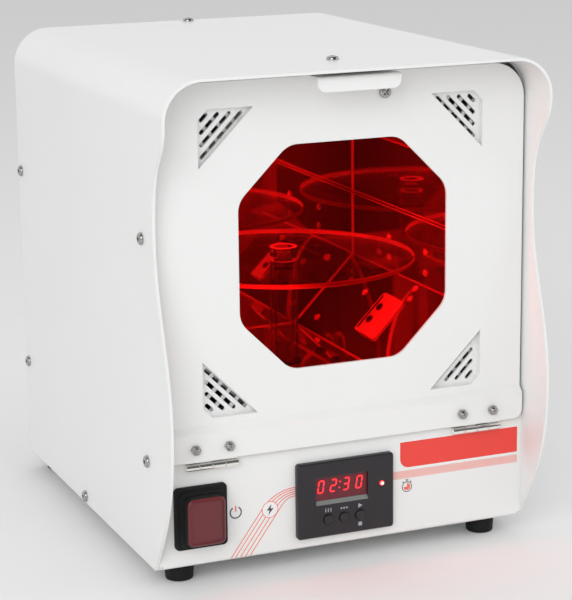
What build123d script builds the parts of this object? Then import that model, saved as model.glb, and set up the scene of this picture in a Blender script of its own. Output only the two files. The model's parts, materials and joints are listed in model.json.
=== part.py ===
from build123d import *
import math
import os

# Bench-top light curing unit: bent sheet case, front door with a red window, mirror-lined
# eight-sided chamber with a turntable, and a control panel with a rocker switch and a timer.
# All sizes in millimetres.  While modelling, x points right, y points into the depth with
# y = 0 on the control panel's front face, and z points up with z = 0 at the case's underside.
# save() then moves every piece to the object's frame, whose origin lies on the standing plane
# under the middle of the outer box.

# ---- turntable and chamber -------------------------------------------------------------
TABLE_R = 84.0                 # clear disc
TABLE_T = 3.0
TABLE_WALL_GAP = 6.0           # disc edge to the mirror walls
TABLE_FRONT_Y = 11.0           # disc's front edge, behind the closed door
TABLE_RISE = 67.0              # chamber floor to the disc's underside
PILLAR_OD = 18.0
PILLAR_ID = 12.0
HUB_FLANGE_T = 1.0
HUB_SPIGOT = 11.7              # how far the hub reaches up into the pillar
CUP_H = 6.0
CUP_FLOOR_T = 2.0
CUP_PLUG = 6.0                 # how far the cup's plug reaches down into the pillar
SHAFT_D = 6.0
SHAFT_FIT = 0.05               # radial running clearance of shafts and pins
FLOOR_HOLE_D = 22.0
CH_FLOOR = 93.0                # chamber floor above the case's underside
CH_HEIGHT = 178.0
FACET_LEG = 45.0               # the four corner facets, measured along x and z
LINER_T = 1.2
SEAM_FLANGE = 12.0

# ---- case ------------------------------------------------------------------------------
SHEET = 2.0                    # outer cover
SIDE_SPACE = 32.0              # chamber wall to the cover's inner face
TOP_SPACE = 24.0               # chamber ceiling to the cover's inner face
REAR_SPACE = 68.0              # chamber's back to the rear panel
REAR_RECESS = 14.5             # rear panel's face to the cover's back edge
COVER_R = 24.0
BELLY = 31.0                   # reach of the side's front edge before the control panel
HOOD = 29.0                    # reach of the top and the upper side edges
WAIST = 8.4
BELLY_Z = 92.0                 # height of the belly's furthest point
WAIST_Z = 206.0
TOE = 2.5                      # side edge starts this far behind the panel at the bottom
TRAY_T = 1.5
TRAY_FLANGE = 14.0
BEND_R = 2.3
PANEL_TOP_DROP = 14.0          # control panel's top below the chamber floor
PANEL_FLANGE = 17.0
BULKHEAD_Y = 18.0
BULKHEAD_T = 1.2
BULKHEAD_FLANGE_Y = 4.0
REAR_T = 1.5
FOOT_H = 13.0
FOOT_TOP_D = 19.0
FOOT_BOTTOM_D = 17.0
FOOT_SIDE_IN = 19.0            # front feet: cover's inner face to the foot's middle
FOOT_FRONT_Y = 19.0
BACK_FOOT_SIDE_IN = 16.0
BACK_FOOT_IN = 11.0            # foot's middle in front of the cover's back edge

# ---- door ------------------------------------------------------------------------------
DOOR_T = 1.5
DOOR_SIDE_GAP = 1.5
DOOR_TOP_GAP = 4.3
STRIP_STEP = 3.6               # lower strip stands forward of the door
STRIP_H = 18.4
STRIP_R = 6.0
STRIP_BEND_DROP = 8.5          # strip's bend below the chamber floor
WINDOW_LESS = 22.0             # window's half width less than the chamber's
WINDOW_CHAMFER = 32.0
WINDOW_R = 15.0
WINDOW_UP = 1.0                # window's middle above the chamber's middle
PANE_T = 3.0
PANE_LAP = 5.0
VENT_OUT = 2.0                 # vent corner outside the chamber's wall line
VENT_LEG = 34.4
VENT_CHAMFER = 6.0
VENT_DEPTH = 4.5
VENT_WALL = 1.5
VENT_SLOT_W = 2.5
VENT_SLOT_EDGE = 2.5
VENT_SLOT_FIRST = 5.4          # first slot's line from the corner, along x plus z
VENT_SLOT_PITCH = 7.2
VENT_SLOTS = 4
PLATE_Y = 7.0                  # front of the inner plate behind the door
PLATE_T = 1.2
PLATE_MARGIN = 8.0
PLATE_SLOT_W = 5.0
PLATE_SLOT_PITCH = 7.5
PLATE_SLOT_REACH = 50.0
PLATE_NOTCH_HALF = 38.0
PLATE_NOTCH_H = 9.5
HANDLE_HALF = 26.5
HANDLE_OUT = 23.0
HANDLE_DROP = 8.9
HANDLE_FLANGE_HALF = 18.0
HANDLE_FLANGE_H = 12.2
HANDLE_R = 5.0
STRIKE_X = 26.6
STRIKE_DROP = 12.7             # strike screw below the door's top edge
STRIKE_D = 12.0
STRIKE_T = 5.0
CATCH_SIZE = 14.0
MOVING_GAP = 0.3

# ---- hinges ----------------------------------------------------------------------------
HINGE_L = 33.2
HINGE_SIDE_IN = 33.6           # cover's inner face to the hinge's middle
HINGE_DROP = 3.45              # pin's axis below the strip's lower edge
BARREL_D = 4.4
PIN_D = 2.0
LEAF_T = 0.8
LEAF_H = 14.0
KNUCKLES = 4
BARREL_GAP = 0.35
HINGE_BOLT_X = 10.65           # bolts each side of the hinge's middle
HINGE_BOLT_UP = 11.15          # bolts above the pin's axis
BOLT_D = 3.0
BOLT_HEAD_D = 5.5
BOLT_CONE = 1.25
NUT_AF = 5.5
NUT_H = 2.4
NUT_TOTAL = 5.5

# ---- control panel fittings ------------------------------------------------------------
SWITCH_SIDE_IN = 26.3
SWITCH_Z = 31.2
SWITCH_W = 33.5
SWITCH_H = 39.0
SWITCH_STEP = 3.0
SWITCH_INSET = 2.75
SWITCH_BODY_W = 27.0
SWITCH_BODY_H = 33.0
SWITCH_BODY_DEPTH = 28.0
SWITCH_WELL_W = 22.0
SWITCH_WELL_H = 28.0
SWITCH_WELL_DEPTH = 9.0
CAP_W = 24.5
CAP_H = 30.0
CAP_OUT = 7.0
CAP_WALL = 1.0
ROCKER_GAP = 0.75
ROCKER_END_GAP = 2.2            # room for the tilt at both ends
ROCKER_TILT = 10.0
ROCKER_OUT = 7.5
ROCKER_DEPTH = 4.0
ROCKER_PIN_D = 3.0
TIMER_X = -1.5
TIMER_Z = 31.1
TIMER_W = 64.5
TIMER_H = 48.0
TIMER_OUT = 4.0
TIMER_WALL = 2.0
TIMER_BACK_W = 58.0
TIMER_BACK_H = 42.0
TIMER_DEPTH = 22.0
DISPLAY_X = -4.2
DISPLAY_Z = 37.75
DISPLAY_W = 35.0
DISPLAY_H = 15.1
DISPLAY_LAP = 1.0
DISPLAY_T = 8.0
LEDGE_H = 2.6
LAMP_X = 22.5
LAMP_Z = 36.6
LAMP_D = 3.0
KEY_XS = {"left": -13.6, "middle": -3.0, "right": 7.8}
KEY_Z = 18.2
KEY_D = 6.2
KEY_FIT = 0.1
KEY_OUT = 1.2
KEY_TRAVEL = 0.8
KEY_FLANGE_D = 8.0
KEY_STEM_D = 4.0
TACT_SIZE = 6.0
TACT_Y = 3.4
TIMER_BOARD_Y = 10.0
PCB_T = 1.6

# ---- lamps -----------------------------------------------------------------------------
LENS_D = 5.0
LENS_HOLE = 0.4                # added to the lens diameter
FACET_LENSES = [(163.5, 20.5), (132.7, -10.6), (81.0, -27.6), (77.4, -19.9)]
SIDE_LENSES = [(72.6, 67.7), (72.6, 53.8), (126.6, 67.7), (126.6, 53.8)]
BACK_LENS_X = 70.4
BACK_LENS_UP = 45.0            # above and below the chamber's middle
FACET_BOARD = (118.0, 56.0)
FACET_BOARD_Y = 119.0
SIDE_BOARD = (86.0, 30.0)
BACK_BOARD = (22.0, 112.0)
SINK_BASE = 3.0
SINK_FINS = 7
SINK_FIN_T = 1.4
SINK_H = 14.0
MODULE_Y = 91.6
MODULE_V = 0.5
MODULE_L = 26.4
MODULE_W = 32.0
MODULE_H = 3.4
MODULE_R = 3.0
MODULE_NOSE = 1.0              # thickness left at the sloping front edge
MODULE_SLOPE = 8.2
MODULE_SLOT = (2.2, 27.0)
MODULE_SLOT_IN = 2.4
MODULE_SCREW_IN = 9.4
MODULE_SCREW_V = 5.2

# ---- screws ----------------------------------------------------------------------------
SCREW_D = 4.0
SCREW_HEAD_D = 7.6
SCREW_HEAD_H = 2.2
SCREW_L = 8.0
SCREW_FRONT_Y = 11.0
SCREW_TOP_Y = 16.0
SCREW_BACK_IN = 7.0            # rear screws in front of the cover's back edge
SCREW_LOW_Z = 66.0
SCREW_HIGH_Z = 201.0
SCREW_BOTTOM_Y = 138.0
SCREW_BOTTOM_Z = 5.0
FLOOR_SCREW_R = 33.6
FLOOR_SCREW_ANGLE = 22.8

# ---- drives and electrics --------------------------------------------------------------
MOTOR_D = 50.0
MOTOR_H = 17.0
MOTOR_DROP = 4.8               # motor's top below the chamber floor's upper face
MOTOR_PLATE_T = 1.2
MOTOR_PLATE_D = 40.0
FAN_SIZE = 80.0
FAN_DEPTH = 25.0
FAN_WALL = 2.0
FAN_BORE = FAN_SIZE - 2 * FAN_WALL
FAN_HUB_D = 32.0
FAN_TIP_GAP = 1.5
FAN_BLADES = 7
FAN_SCREW_IN = 4.25
FAN_SCREW_SPAN = FAN_SIZE - 2 * FAN_SCREW_IN
GUARD_WIRE = 1.6
INLET_SIDE = 52.0              # inlet's middle to the cover's inner face
INLET_Z = 34.0
INLET_W = 50.0
INLET_H = 30.0
INLET_FLANGE_T = 3.0
INLET_BODY_W = 28.0
INLET_BODY_DEPTH = 20.0
SOCKET_W = 24.0
SOCKET_H = 16.5
SOCKET_DEPTH = 16.0
FUSE_H = 7.0
PSU = (60.0, 98.0, 38.0)
PSU_SIDE = 20.0                # supply's flank to the cover's inner face
PSU_BEHIND = 17.0              # supply's middle behind the turntable's axis
BOARD = (84.0, 96.0)
BOARD_SIDE = 8.0
BOARD_BEHIND = 13.0
STANDOFF_H = 8.0

# ---- derived ---------------------------------------------------------------------------
CH_HALF = TABLE_R + TABLE_WALL_GAP
CH_TOP = CH_FLOOR + CH_HEIGHT
CH_MID = (CH_FLOOR + CH_TOP) / 2
TABLE_Y = TABLE_FRONT_Y + TABLE_R
CH_BACK = TABLE_Y + TABLE_R + TABLE_WALL_GAP
TABLE_Z = CH_FLOOR + TABLE_RISE
INNER_HALF = CH_HALF + SIDE_SPACE
INNER_TOP = CH_TOP + TOP_SPACE
INNER_R = COVER_R - SHEET
COVER_HALF = INNER_HALF + SHEET
INLET_X = INNER_HALF - INLET_SIDE
PSU_X = INNER_HALF - PSU_SIDE - PSU[0] / 2
PSU_Y = TABLE_Y + PSU_BEHIND
BOARD_X = BOARD_SIDE + BOARD[0] / 2 - INNER_HALF
BOARD_Y = TABLE_Y + BOARD_BEHIND
COVER_TOP = INNER_TOP + SHEET
REAR_Y = CH_BACK + REAR_SPACE
COVER_BACK = REAR_Y + REAR_T + REAR_RECESS
LINER_FRONT = BULKHEAD_Y + BULKHEAD_T
PANEL_TOP = CH_FLOOR - PANEL_TOP_DROP
DOOR_HALF = INNER_HALF - DOOR_SIDE_GAP
DOOR_TOP = INNER_TOP - DOOR_TOP_GAP
DOOR_R = INNER_R - DOOR_SIDE_GAP / 2
BEND_Z = CH_FLOOR - STRIP_BEND_DROP
STRIP_LOW = BEND_Z - STRIP_H
STRIP_BACK = DOOR_T - STRIP_STEP
HINGE_Z = STRIP_LOW - HINGE_DROP
HINGE_Y = -BARREL_D / 2 - BARREL_GAP
HINGE_X = INNER_HALF - HINGE_SIDE_IN
WINDOW_Z = CH_MID + WINDOW_UP
WINDOW_HALF_W = CH_HALF - WINDOW_LESS
WINDOW_HALF_H = CH_HEIGHT / 2 - WINDOW_LESS + 1.0
VENT_X = CH_HALF + VENT_OUT
VENT_UP = CH_HEIGHT / 2 + VENT_OUT + 1.0
STRIKE_Z = DOOR_TOP - STRIKE_DROP
SWITCH_X = SWITCH_SIDE_IN - INNER_HALF
ROCKER_Y = 0.0
REAR_SCREW_Y = COVER_BACK - SCREW_BACK_IN
FAN_Z = CH_MID
MOTOR_TOP = CH_FLOOR - MOTOR_DROP
FRAME_SHIFT = Pos(0, (BELLY - COVER_BACK) / 2, FOOT_H)

BASE = (Align.CENTER, Align.CENTER, Align.MIN)


# ---- helpers ---------------------------------------------------------------------------
def block(xs, ys, zs):
    """Box between two x, two y and two z values."""
    sizes = [abs(v[1] - v[0]) for v in (xs, ys, zs)]
    return Pos(sum(xs) / 2, sum(ys) / 2, sum(zs) / 2) * Box(*sizes)


def front(sketch, y0, y1):
    """Prism of a front-view sketch (x, z) between two depths."""
    return extrude(Plane.XZ.offset(-y1) * sketch, amount=y1 - y0, dir=(0, -1, 0))


def side(sketch, x0, x1):
    """Prism of a side-view sketch (y, z) between two x values."""
    return extrude(Plane.YZ.offset(x0) * sketch, amount=x1 - x0, dir=(1, 0, 0))


def rod(start, direction, diameter, length):
    """Cylinder from a start point along a direction."""
    plane = Plane(origin=start, z_dir=direction)
    return plane * Cylinder(diameter / 2, length, align=BASE)


def fuse(shapes):
    """One shape from several."""
    result = shapes[0]
    for shape in shapes[1:]:
        result = result + shape
    return result


def both_sides(shapes):
    """The shapes and their mirror images left of the middle plane."""
    return shapes + [mirror(shape, about=Plane.YZ) for shape in shapes]


def bent(points, thickness, side_of_path, radius):
    """Section of a bent sheet whose outer face follows the points."""
    path = FilletPolyline(*points, radius=radius)
    return make_face(offset(path, amount=thickness, side=side_of_path, closed=True))


def rounded_rect(x, z, width, height, radius):
    """Rounded rectangle in the front view about a middle."""
    return Pos(x, z) * RectangleRounded(width, height, radius)


def octagon(half_w, half_h, leg, z_mid, radius=0.0):
    """Rectangle with four equal corner cuts in the front view."""
    quarter = [(half_w, half_h - leg), (half_w - leg, half_h)]
    ring = quarter + [(-x, z) for x, z in reversed(quarter)]
    ring = ring + [(-x, -z) for x, z in quarter] + [(x, -z) for x, z in reversed(quarter)]
    shape = Polygon(*[(x, z_mid + z) for x, z in ring], align=None)
    return fillet(shape.vertices(), radius) if radius else shape


def arch(half, low, top, radius):
    """Front-view rectangle with two rounded top corners."""
    shape = Pos(0, (low + top) / 2) * Rectangle(2 * half, top - low)
    return fillet(shape.vertices().group_by(Axis.Y)[-1], radius)


def screw(at, direction, head_d=SCREW_HEAD_D, head_h=SCREW_HEAD_H, shank_d=SCREW_D, length=SCREW_L):
    """Button-head socket screw with its head's underside at a point, head towards direction."""
    head = Cylinder(head_d / 2, head_h, align=BASE)
    head = fillet(head.edges().group_by(Axis.Z)[-1], head_h * 0.8)
    head = head - Pos(0, 0, head_h * 0.45) * extrude(RegularPolygon(head_d * 0.18, 6), head_h)
    shank = Pos(0, 0, -length) * Cylinder(shank_d / 2, length, align=BASE)
    return Plane(origin=at, z_dir=direction) * (head + shank)


def sunk_bolt(at, direction, length):
    """Countersunk bolt with its flush face at a point, shank against direction."""
    cone = Pos(0, 0, -BOLT_CONE) * Cone(BOLT_D / 2, BOLT_HEAD_D / 2, BOLT_CONE, align=BASE)
    shank = Pos(0, 0, -length) * Cylinder(BOLT_D / 2, length, align=BASE)
    return Plane(origin=at, z_dir=direction) * (cone + shank)


def save(name, *shapes):
    """Write one node as a group of solids in the object's frame."""
    solids = [solid for shape in shapes for solid in shape.solids()]
    solids = [FRAME_SHIFT * solid for solid in solids]
    export_step(solids[0] if len(solids) == 1 else Compound(children=solids), f"parts/{name}.step")


# ---- case sheets -----------------------------------------------------------------------
def side_screw_points():
    """Places of the ten screws on the right and left side, on the cover's outer face."""
    spots = [(SCREW_FRONT_Y, SCREW_LOW_Z), (SCREW_FRONT_Y, SCREW_HIGH_Z)]
    spots = spots + [(REAR_SCREW_Y, SCREW_LOW_Z), (REAR_SCREW_Y, SCREW_HIGH_Z)]
    spots = spots + [(SCREW_BOTTOM_Y, SCREW_BOTTOM_Z)]
    return [(s * COVER_HALF, y, z) for s in (-1, 1) for y, z in spots]


def cover_screws():
    """All twelve cover screws."""
    pieces = [screw(p, (math.copysign(1, p[0]), 0, 0)) for p in side_screw_points()]
    for y in (SCREW_TOP_Y, REAR_SCREW_Y):
        pieces.append(screw((0, y, COVER_TOP), (0, 0, 1)))
    return pieces


def screw_cuts():
    """Round holes for the cover screws through every sheet they pass."""
    cuts = [rod(p, (-math.copysign(1, p[0]), 0, 0), SCREW_D, SCREW_L) for p in side_screw_points()]
    for y in (SCREW_TOP_Y, REAR_SCREW_Y):
        cuts.append(rod((0, y, COVER_TOP), (0, 0, -1), SCREW_D, SCREW_L))
    return cuts


def outer_cover():
    """Sides and top of one sheet, with the S-shaped front edges."""
    shell = arch(COVER_HALF, 0, COVER_TOP, COVER_R) - arch(INNER_HALF, 0, INNER_TOP, INNER_R)
    hood_low = COVER_TOP - 23.5
    belly = (-BELLY, BELLY_Z)
    waist = (-WAIST, WAIST_Z)
    upright = (0, 1)
    low = Spline((TOE, 0), (-BELLY * 0.7, BELLY_Z * 0.46), belly, tangents=((-0.5, 0.86), upright))
    middle_point = (-(BELLY + WAIST) / 2, (BELLY_Z + WAIST_Z) / 2)
    middle = Spline(belly, middle_point, waist, tangents=(upright, upright))
    high = Spline(waist, (-HOOD * 0.57, COVER_TOP - 51.0), (-HOOD, hood_low), tangents=(upright, upright))
    rest = Polyline((-HOOD, hood_low), (-HOOD, COVER_TOP), (COVER_BACK, COVER_TOP), (COVER_BACK, 0), (TOE, 0))
    profile = make_face(low.edges() + middle.edges() + high.edges() + rest.edges())
    wide = COVER_HALF + SHEET
    body = front(shell, -BELLY - SHEET, COVER_BACK) & side(profile, -wide, wide)
    for cut in screw_cuts():
        body = body - cut
    return body


def chassis_tray():
    """Base sheet with the upright control panel bent up from it."""
    points = [(COVER_BACK - TRAY_T, 0), (0, 0), (0, PANEL_TOP), (PANEL_FLANGE, PANEL_TOP)]
    tray = side(bent(points, TRAY_T, Side.RIGHT, BEND_R), -INNER_HALF, INNER_HALF)
    flange_x = (INNER_HALF - TRAY_T, INNER_HALF)
    low = block(flange_x, (PANEL_FLANGE + BEND_R, REAR_Y - BEND_R), (0, TRAY_FLANGE))
    high = block(flange_x, (TRAY_T, PANEL_FLANGE), (TRAY_FLANGE + BEND_R, PANEL_TOP))
    tray = fuse([tray] + both_sides([low, high]))
    notch = block((INNER_HALF - BEND_R, INNER_HALF), (0, BEND_R), (0, BEND_R))
    tray = tray - fuse(both_sides([notch]))
    switch_hole = rounded_rect(SWITCH_X, SWITCH_Z, SWITCH_BODY_W, SWITCH_BODY_H, 1.0)
    timer_hole = rounded_rect(TIMER_X, TIMER_Z, TIMER_BACK_W, TIMER_BACK_H, 1.0)
    tray = tray - front(switch_hole + timer_hole, -1, TRAY_T + 1)
    for bolt in case_hinge_screws():
        tray = tray - bolt
    for x, y in foot_points():
        tray = tray - rod((x, y, -1), (0, 0, 1), SCREW_D, TRAY_T + 2)
    slot = SlotCenterToCenter(26.0, 4.0)
    for x in (PSU_X, BOARD_X):
        for row in range(5):
            y = COVER_BACK - 90.0 + 10.0 * row
            tray = tray - Pos(x, y, -1) * extrude(slot, TRAY_T + 2)
    for cut in screw_cuts():
        tray = tray - cut
    return tray


def air_hole(sx, sz):
    """Front-view triangle that lets cooling air past the chamber's corner."""
    reach = VENT_LEG - VENT_WALL
    points = [(VENT_X, VENT_UP - reach), (VENT_X, VENT_UP), (VENT_X - reach, VENT_UP)]
    hole = Polygon(*[(sx * x, WINDOW_Z + sz * z) for x, z in points], align=None)
    return fillet(hole.vertices(), 4.0)


def front_bulkhead():
    """Frame behind the door that carries the chamber's front edge."""
    back = LINER_FRONT
    outline = arch(INNER_HALF, PANEL_TOP, INNER_TOP, INNER_R)
    inside = arch(INNER_HALF - BULKHEAD_T, PANEL_TOP, INNER_TOP - BULKHEAD_T, INNER_R - BULKHEAD_T)
    frame = front(outline, BULKHEAD_Y, back) + front(outline - inside, BULKHEAD_FLANGE_Y, back)
    foot_half = INNER_HALF - BULKHEAD_T
    frame = frame + block((-foot_half, foot_half), (BULKHEAD_FLANGE_Y, back), (PANEL_TOP, PANEL_TOP + BULKHEAD_T))
    mouth = octagon(CH_HALF, CH_HEIGHT / 2, FACET_LEG, CH_MID)
    for sx in (-1, 1):
        for sz in (-1, 1):
            mouth = mouth + air_hole(sx, sz)
    frame = frame - front(mouth, BULKHEAD_Y - 1, back + 1)
    for cut in screw_cuts():
        frame = frame - cut
    return frame


def rear_panel():
    """Back sheet inside the cover's rim, with the fan and inlet openings."""
    outline = arch(INNER_HALF, TRAY_T, INNER_TOP, INNER_R)
    inside = arch(INNER_HALF - REAR_T, TRAY_T, INNER_TOP - REAR_T, INNER_R - REAR_T)
    rim_back = COVER_BACK - TRAY_T
    panel = front(outline, REAR_Y, REAR_Y + REAR_T) + front(outline - inside, REAR_Y, rim_back)
    foot_half = INNER_HALF - REAR_T
    panel = panel + block((-foot_half, foot_half), (REAR_Y, rim_back), (TRAY_T, 2 * TRAY_T))
    holes = Pos(0, FAN_Z) * Circle(FAN_BORE / 2)
    holes = holes + rounded_rect(INLET_X, INLET_Z, INLET_BODY_W, INLET_H - 4.0, 1.0)
    panel = panel - front(holes, REAR_Y - 1, REAR_Y + REAR_T + 1)
    for x, z in fan_screw_points():
        panel = panel - rod((x, REAR_Y - 1, z), (0, 1, 0), SCREW_D, REAR_T + 2)
    for s in (-1, 1):
        panel = panel - rod((INLET_X + s * 20.0, REAR_Y - 1, INLET_Z), (0, 1, 0), BOLT_D, REAR_T + 2)
    slot = SlotCenterToCenter(24.0, 4.0)
    for s in (-1, 1):
        for row in range(6):
            z = FAN_Z - 25.0 + 10.0 * row
            panel = panel - front(Pos(s * 82.0, z) * slot, REAR_Y - 1, REAR_Y + REAR_T + 1)
    for x, y in foot_points():
        panel = panel - rod((x, y, 0), (0, 0, 1), SCREW_D, 3 * TRAY_T)
    for cut in screw_cuts():
        panel = panel - cut
    return panel


def foot_points():
    """Middles of the four feet in the plan view."""
    front_x = INNER_HALF - FOOT_SIDE_IN
    back_x = INNER_HALF - BACK_FOOT_SIDE_IN
    back_y = COVER_BACK - BACK_FOOT_IN
    return [(s * x, y) for s in (-1, 1) for x, y in ((front_x, FOOT_FRONT_Y), (back_x, back_y))]


def feet():
    """Four tapered rubber feet with a recess for their screws."""
    foot = Pos(0, 0, -FOOT_H) * Cone(FOOT_BOTTOM_D / 2, FOOT_TOP_D / 2, FOOT_H, align=BASE)
    foot = fillet(foot.edges().group_by(Axis.Z)[0], 1.2)
    foot = foot - Pos(0, 0, -FOOT_H) * Cylinder(4.5, FOOT_H / 2, align=BASE)
    foot = foot - Pos(0, 0, -FOOT_H) * Cylinder(SCREW_D / 2, FOOT_H, align=BASE)
    return [Pos(x, y, 0) * foot for x, y in foot_points()]


def foot_screws():
    """Pan-head screws from below through feet and base."""
    seat = -FOOT_H / 2
    length = FOOT_H / 2 + 2 * TRAY_T + 3.0
    return [screw((x, y, seat), (0, 0, -1), length=length) for x, y in foot_points()]


# ---- chamber ---------------------------------------------------------------------------
def liner_section(sign):
    """Front-view section of the lower (-1) or upper (1) mirror sheet."""
    half_h = CH_HEIGHT / 2
    right = [(CH_HALF + SEAM_FLANGE, 0), (CH_HALF, 0), (CH_HALF, half_h - FACET_LEG), (CH_HALF - FACET_LEG, half_h)]
    path = right + [(-x, z) for x, z in reversed(right)]
    points = [(x, CH_MID + sign * z) for x, z in path]
    turn = Side.RIGHT if sign > 0 else Side.LEFT
    line = Polyline(*points)
    return make_face(offset(line, amount=LINER_T, side=turn, kind=Kind.INTERSECTION, closed=True))


def facet_plane():
    """Plane of the right lower facet: x along the depth, y down the facet, z into the chamber."""
    origin = (CH_HALF - FACET_LEG / 2, 0, CH_FLOOR + FACET_LEG / 2)
    return Plane(origin=origin, x_dir=(0, 1, 0), z_dir=(-1, 0, 1))


def wall_plane():
    """Plane of the right wall: x along the depth, z into the chamber."""
    return Plane(origin=(CH_HALF, 0, CH_FLOOR), x_dir=(0, 1, 0), z_dir=(-1, 0, 0))


def back_plane():
    """Plane of the back wall: x to the right, y up, z into the chamber."""
    return Plane(origin=(0, CH_BACK, CH_MID), x_dir=(1, 0, 0), z_dir=(0, -1, 0))


def lens_spots():
    """Locations of the lenses on the right lower facet and the right wall."""
    spots = [facet_plane() * Pos(y, v, 0) for y, v in FACET_LENSES]
    wall = wall_plane()
    turn = 1 if wall.y_dir.Z > 0 else -1
    return spots + [wall * Pos(y, turn * up, 0) for y, up in SIDE_LENSES]


def back_lens_spots():
    """Locations of the four lenses on the back wall."""
    return [
        back_plane() * Pos(sx * BACK_LENS_X, sz * BACK_LENS_UP, 0)
        for sx in (-1, 1)
        for sz in (-1, 1)
    ]


def lens_hole(depth=LINER_T):
    """Cutter for one lens, local z into the chamber."""
    return Pos(0, 0, -depth - 1) * Cylinder((LENS_D + LENS_HOLE) / 2, depth + 2, align=BASE)


def lens():
    """Domed lens standing on its board behind the liner."""
    barrel = Pos(0, 0, -LINER_T) * Cylinder(LENS_D / 2, LINER_T + 0.4, align=BASE)
    return barrel + Pos(0, 0, 0.4) * Sphere(LENS_D / 2, arc_size1=0)


def chamber_lower_liner():
    """Floor, lower facets and lower walls, mirror-polished inside."""
    body = front(liner_section(-1), LINER_FRONT, CH_BACK)
    cuts = both_sides([Location(spot) * lens_hole() for spot in lens_spots()])
    cuts.append(rod((0, TABLE_Y, CH_FLOOR - LINER_T - 1), (0, 0, 1), FLOOR_HOLE_D, LINER_T + 2))
    for x, y in floor_screw_points():
        cuts.append(rod((x, y, CH_FLOOR - LINER_T - 1), (0, 0, 1), SCREW_D, LINER_T + 2))
    for cut in cuts:
        body = body - cut
    return body


def chamber_upper_liner():
    """Ceiling, upper facets and upper walls."""
    return front(liner_section(1), LINER_FRONT, CH_BACK)


def chamber_back():
    """Back mirror, carried down to the base as a stand."""
    margin = SEAM_FLANGE / 2
    outline = octagon(CH_HALF + margin, CH_HEIGHT / 2 + margin, FACET_LEG, CH_MID)
    leg_half = CH_HALF - FACET_LEG / 2
    outline = outline + Pos(0, (TRAY_T + CH_FLOOR + FACET_LEG) / 2) * Rectangle(
        2 * leg_half, CH_FLOOR + FACET_LEG - TRAY_T
    )
    body = front(outline, CH_BACK, CH_BACK + LINER_T)
    body = body + block((-leg_half, leg_half), (CH_BACK, CH_BACK + 14.0), (TRAY_T, TRAY_T + LINER_T))
    for spot in back_lens_spots():
        body = body - Location(spot) * lens_hole()
    return body


def floor_screw_points():
    """Four screws that hold the motor under the chamber floor."""
    points = []
    for sx in (-1, 1):
        for sy in (-1, 1):
            a = math.radians(FLOOR_SCREW_ANGLE)
            points.append((sx * FLOOR_SCREW_R * math.cos(a), TABLE_Y + sy * FLOOR_SCREW_R * math.sin(a)))
    return points


def sink(length, width):
    """Finned heat sink standing away from its board, local z outwards."""
    base = Box(length, width, SINK_BASE, align=BASE)
    fins = []
    for i in range(SINK_FINS):
        v = (i - (SINK_FINS - 1) / 2) * (width - SINK_FIN_T) / (SINK_FINS - 1)
        fins.append(Pos(0, v, 0) * Box(length, SINK_FIN_T, SINK_H, align=BASE))
    return fuse([base] + fins)


def behind(plane, u, v, depth):
    """Location behind a wall at a depth, with local z pointing away from the chamber."""
    return Location(plane * Pos(u, v, -depth) * Rot(180, 0, 0))


def lamp_sites():
    """Right-hand and back board sites: place, board length and width."""
    wall = wall_plane()
    turn = 1 if wall.y_dir.Z > 0 else -1
    wall_mid = (SIDE_LENSES[0][1] + SIDE_LENSES[1][1]) / 2
    side_y = (SIDE_LENSES[0][0] + SIDE_LENSES[2][0]) / 2
    return [
        (facet_plane(), FACET_BOARD_Y, 0.0, FACET_BOARD),
        (wall, side_y, turn * wall_mid, SIDE_BOARD),
        (back_plane(), BACK_LENS_X, 0.0, BACK_BOARD),
    ]


def lamp_boards():
    """Circuit boards against the outside of the mirror walls."""
    boards = []
    for plane, u, v, size in lamp_sites():
        boards.append(behind(plane, u, v, LINER_T) * Box(size[0], size[1], PCB_T, align=BASE))
    return both_sides(boards)


def lamp_heat_sinks():
    """Finned heat sinks on the boards' backs."""
    sinks = []
    for plane, u, v, size in lamp_sites():
        sinks.append(behind(plane, u, v, LINER_T + PCB_T) * sink(size[0] - 6, size[1] - 6))
    return both_sides(sinks)


def lamp_lenses():
    """All the small domed lenses."""
    right = [Location(spot) * lens() for spot in lens_spots()]
    back = [Location(spot) * lens() for spot in back_lens_spots()]
    return both_sides(right) + back


def lamp_module():
    """Low lamp module on the right lower facet, sloping off to the front, with a light slot."""
    body = extrude(RectangleRounded(MODULE_L, MODULE_W, MODULE_R), MODULE_H)
    front_x = -MODULE_L / 2
    slope = [(front_x, MODULE_NOSE), (front_x + MODULE_SLOPE, MODULE_H), (front_x, MODULE_H)]
    wedge = extrude(Plane.XZ * Polygon(*slope, align=None), MODULE_W / 2 + 1.0, both=True)
    body = body - wedge
    slot = extrude(Rectangle(*MODULE_SLOT), MODULE_H)
    body = body - Pos(MODULE_L / 2 - MODULE_SLOT_IN, 0, MODULE_NOSE) * slot
    for v in (-MODULE_SCREW_V, MODULE_SCREW_V):
        body = body - Pos(MODULE_L / 2 - MODULE_SCREW_IN, v) * Cylinder(BOLT_D / 2, MODULE_H, align=BASE)
    return Location(facet_plane() * Pos(MODULE_Y, MODULE_V, 0)) * body


def lamp_module_screws():
    """Two small screws on the right module."""
    plane = facet_plane()
    pieces = []
    for v in (-MODULE_SCREW_V, MODULE_SCREW_V):
        at = (plane * Pos(MODULE_Y + MODULE_L / 2 - MODULE_SCREW_IN, MODULE_V + v, MODULE_H)).position
        pieces.append(screw(at, plane.z_dir, head_d=5.5, head_h=1.6, shank_d=BOLT_D, length=MODULE_H))
    return pieces


# ---- turntable -------------------------------------------------------------------------
def turntable_disc():
    """Clear round plate with a middle hole."""
    disc = Pos(0, TABLE_Y, TABLE_Z) * Cylinder(TABLE_R, TABLE_T, align=BASE)
    disc = fillet(disc.edges().filter_by(GeomType.CIRCLE), 0.5)
    return disc - rod((0, TABLE_Y, TABLE_Z - 1), (0, 0, 1), PILLAR_ID, TABLE_T + 2)


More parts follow.
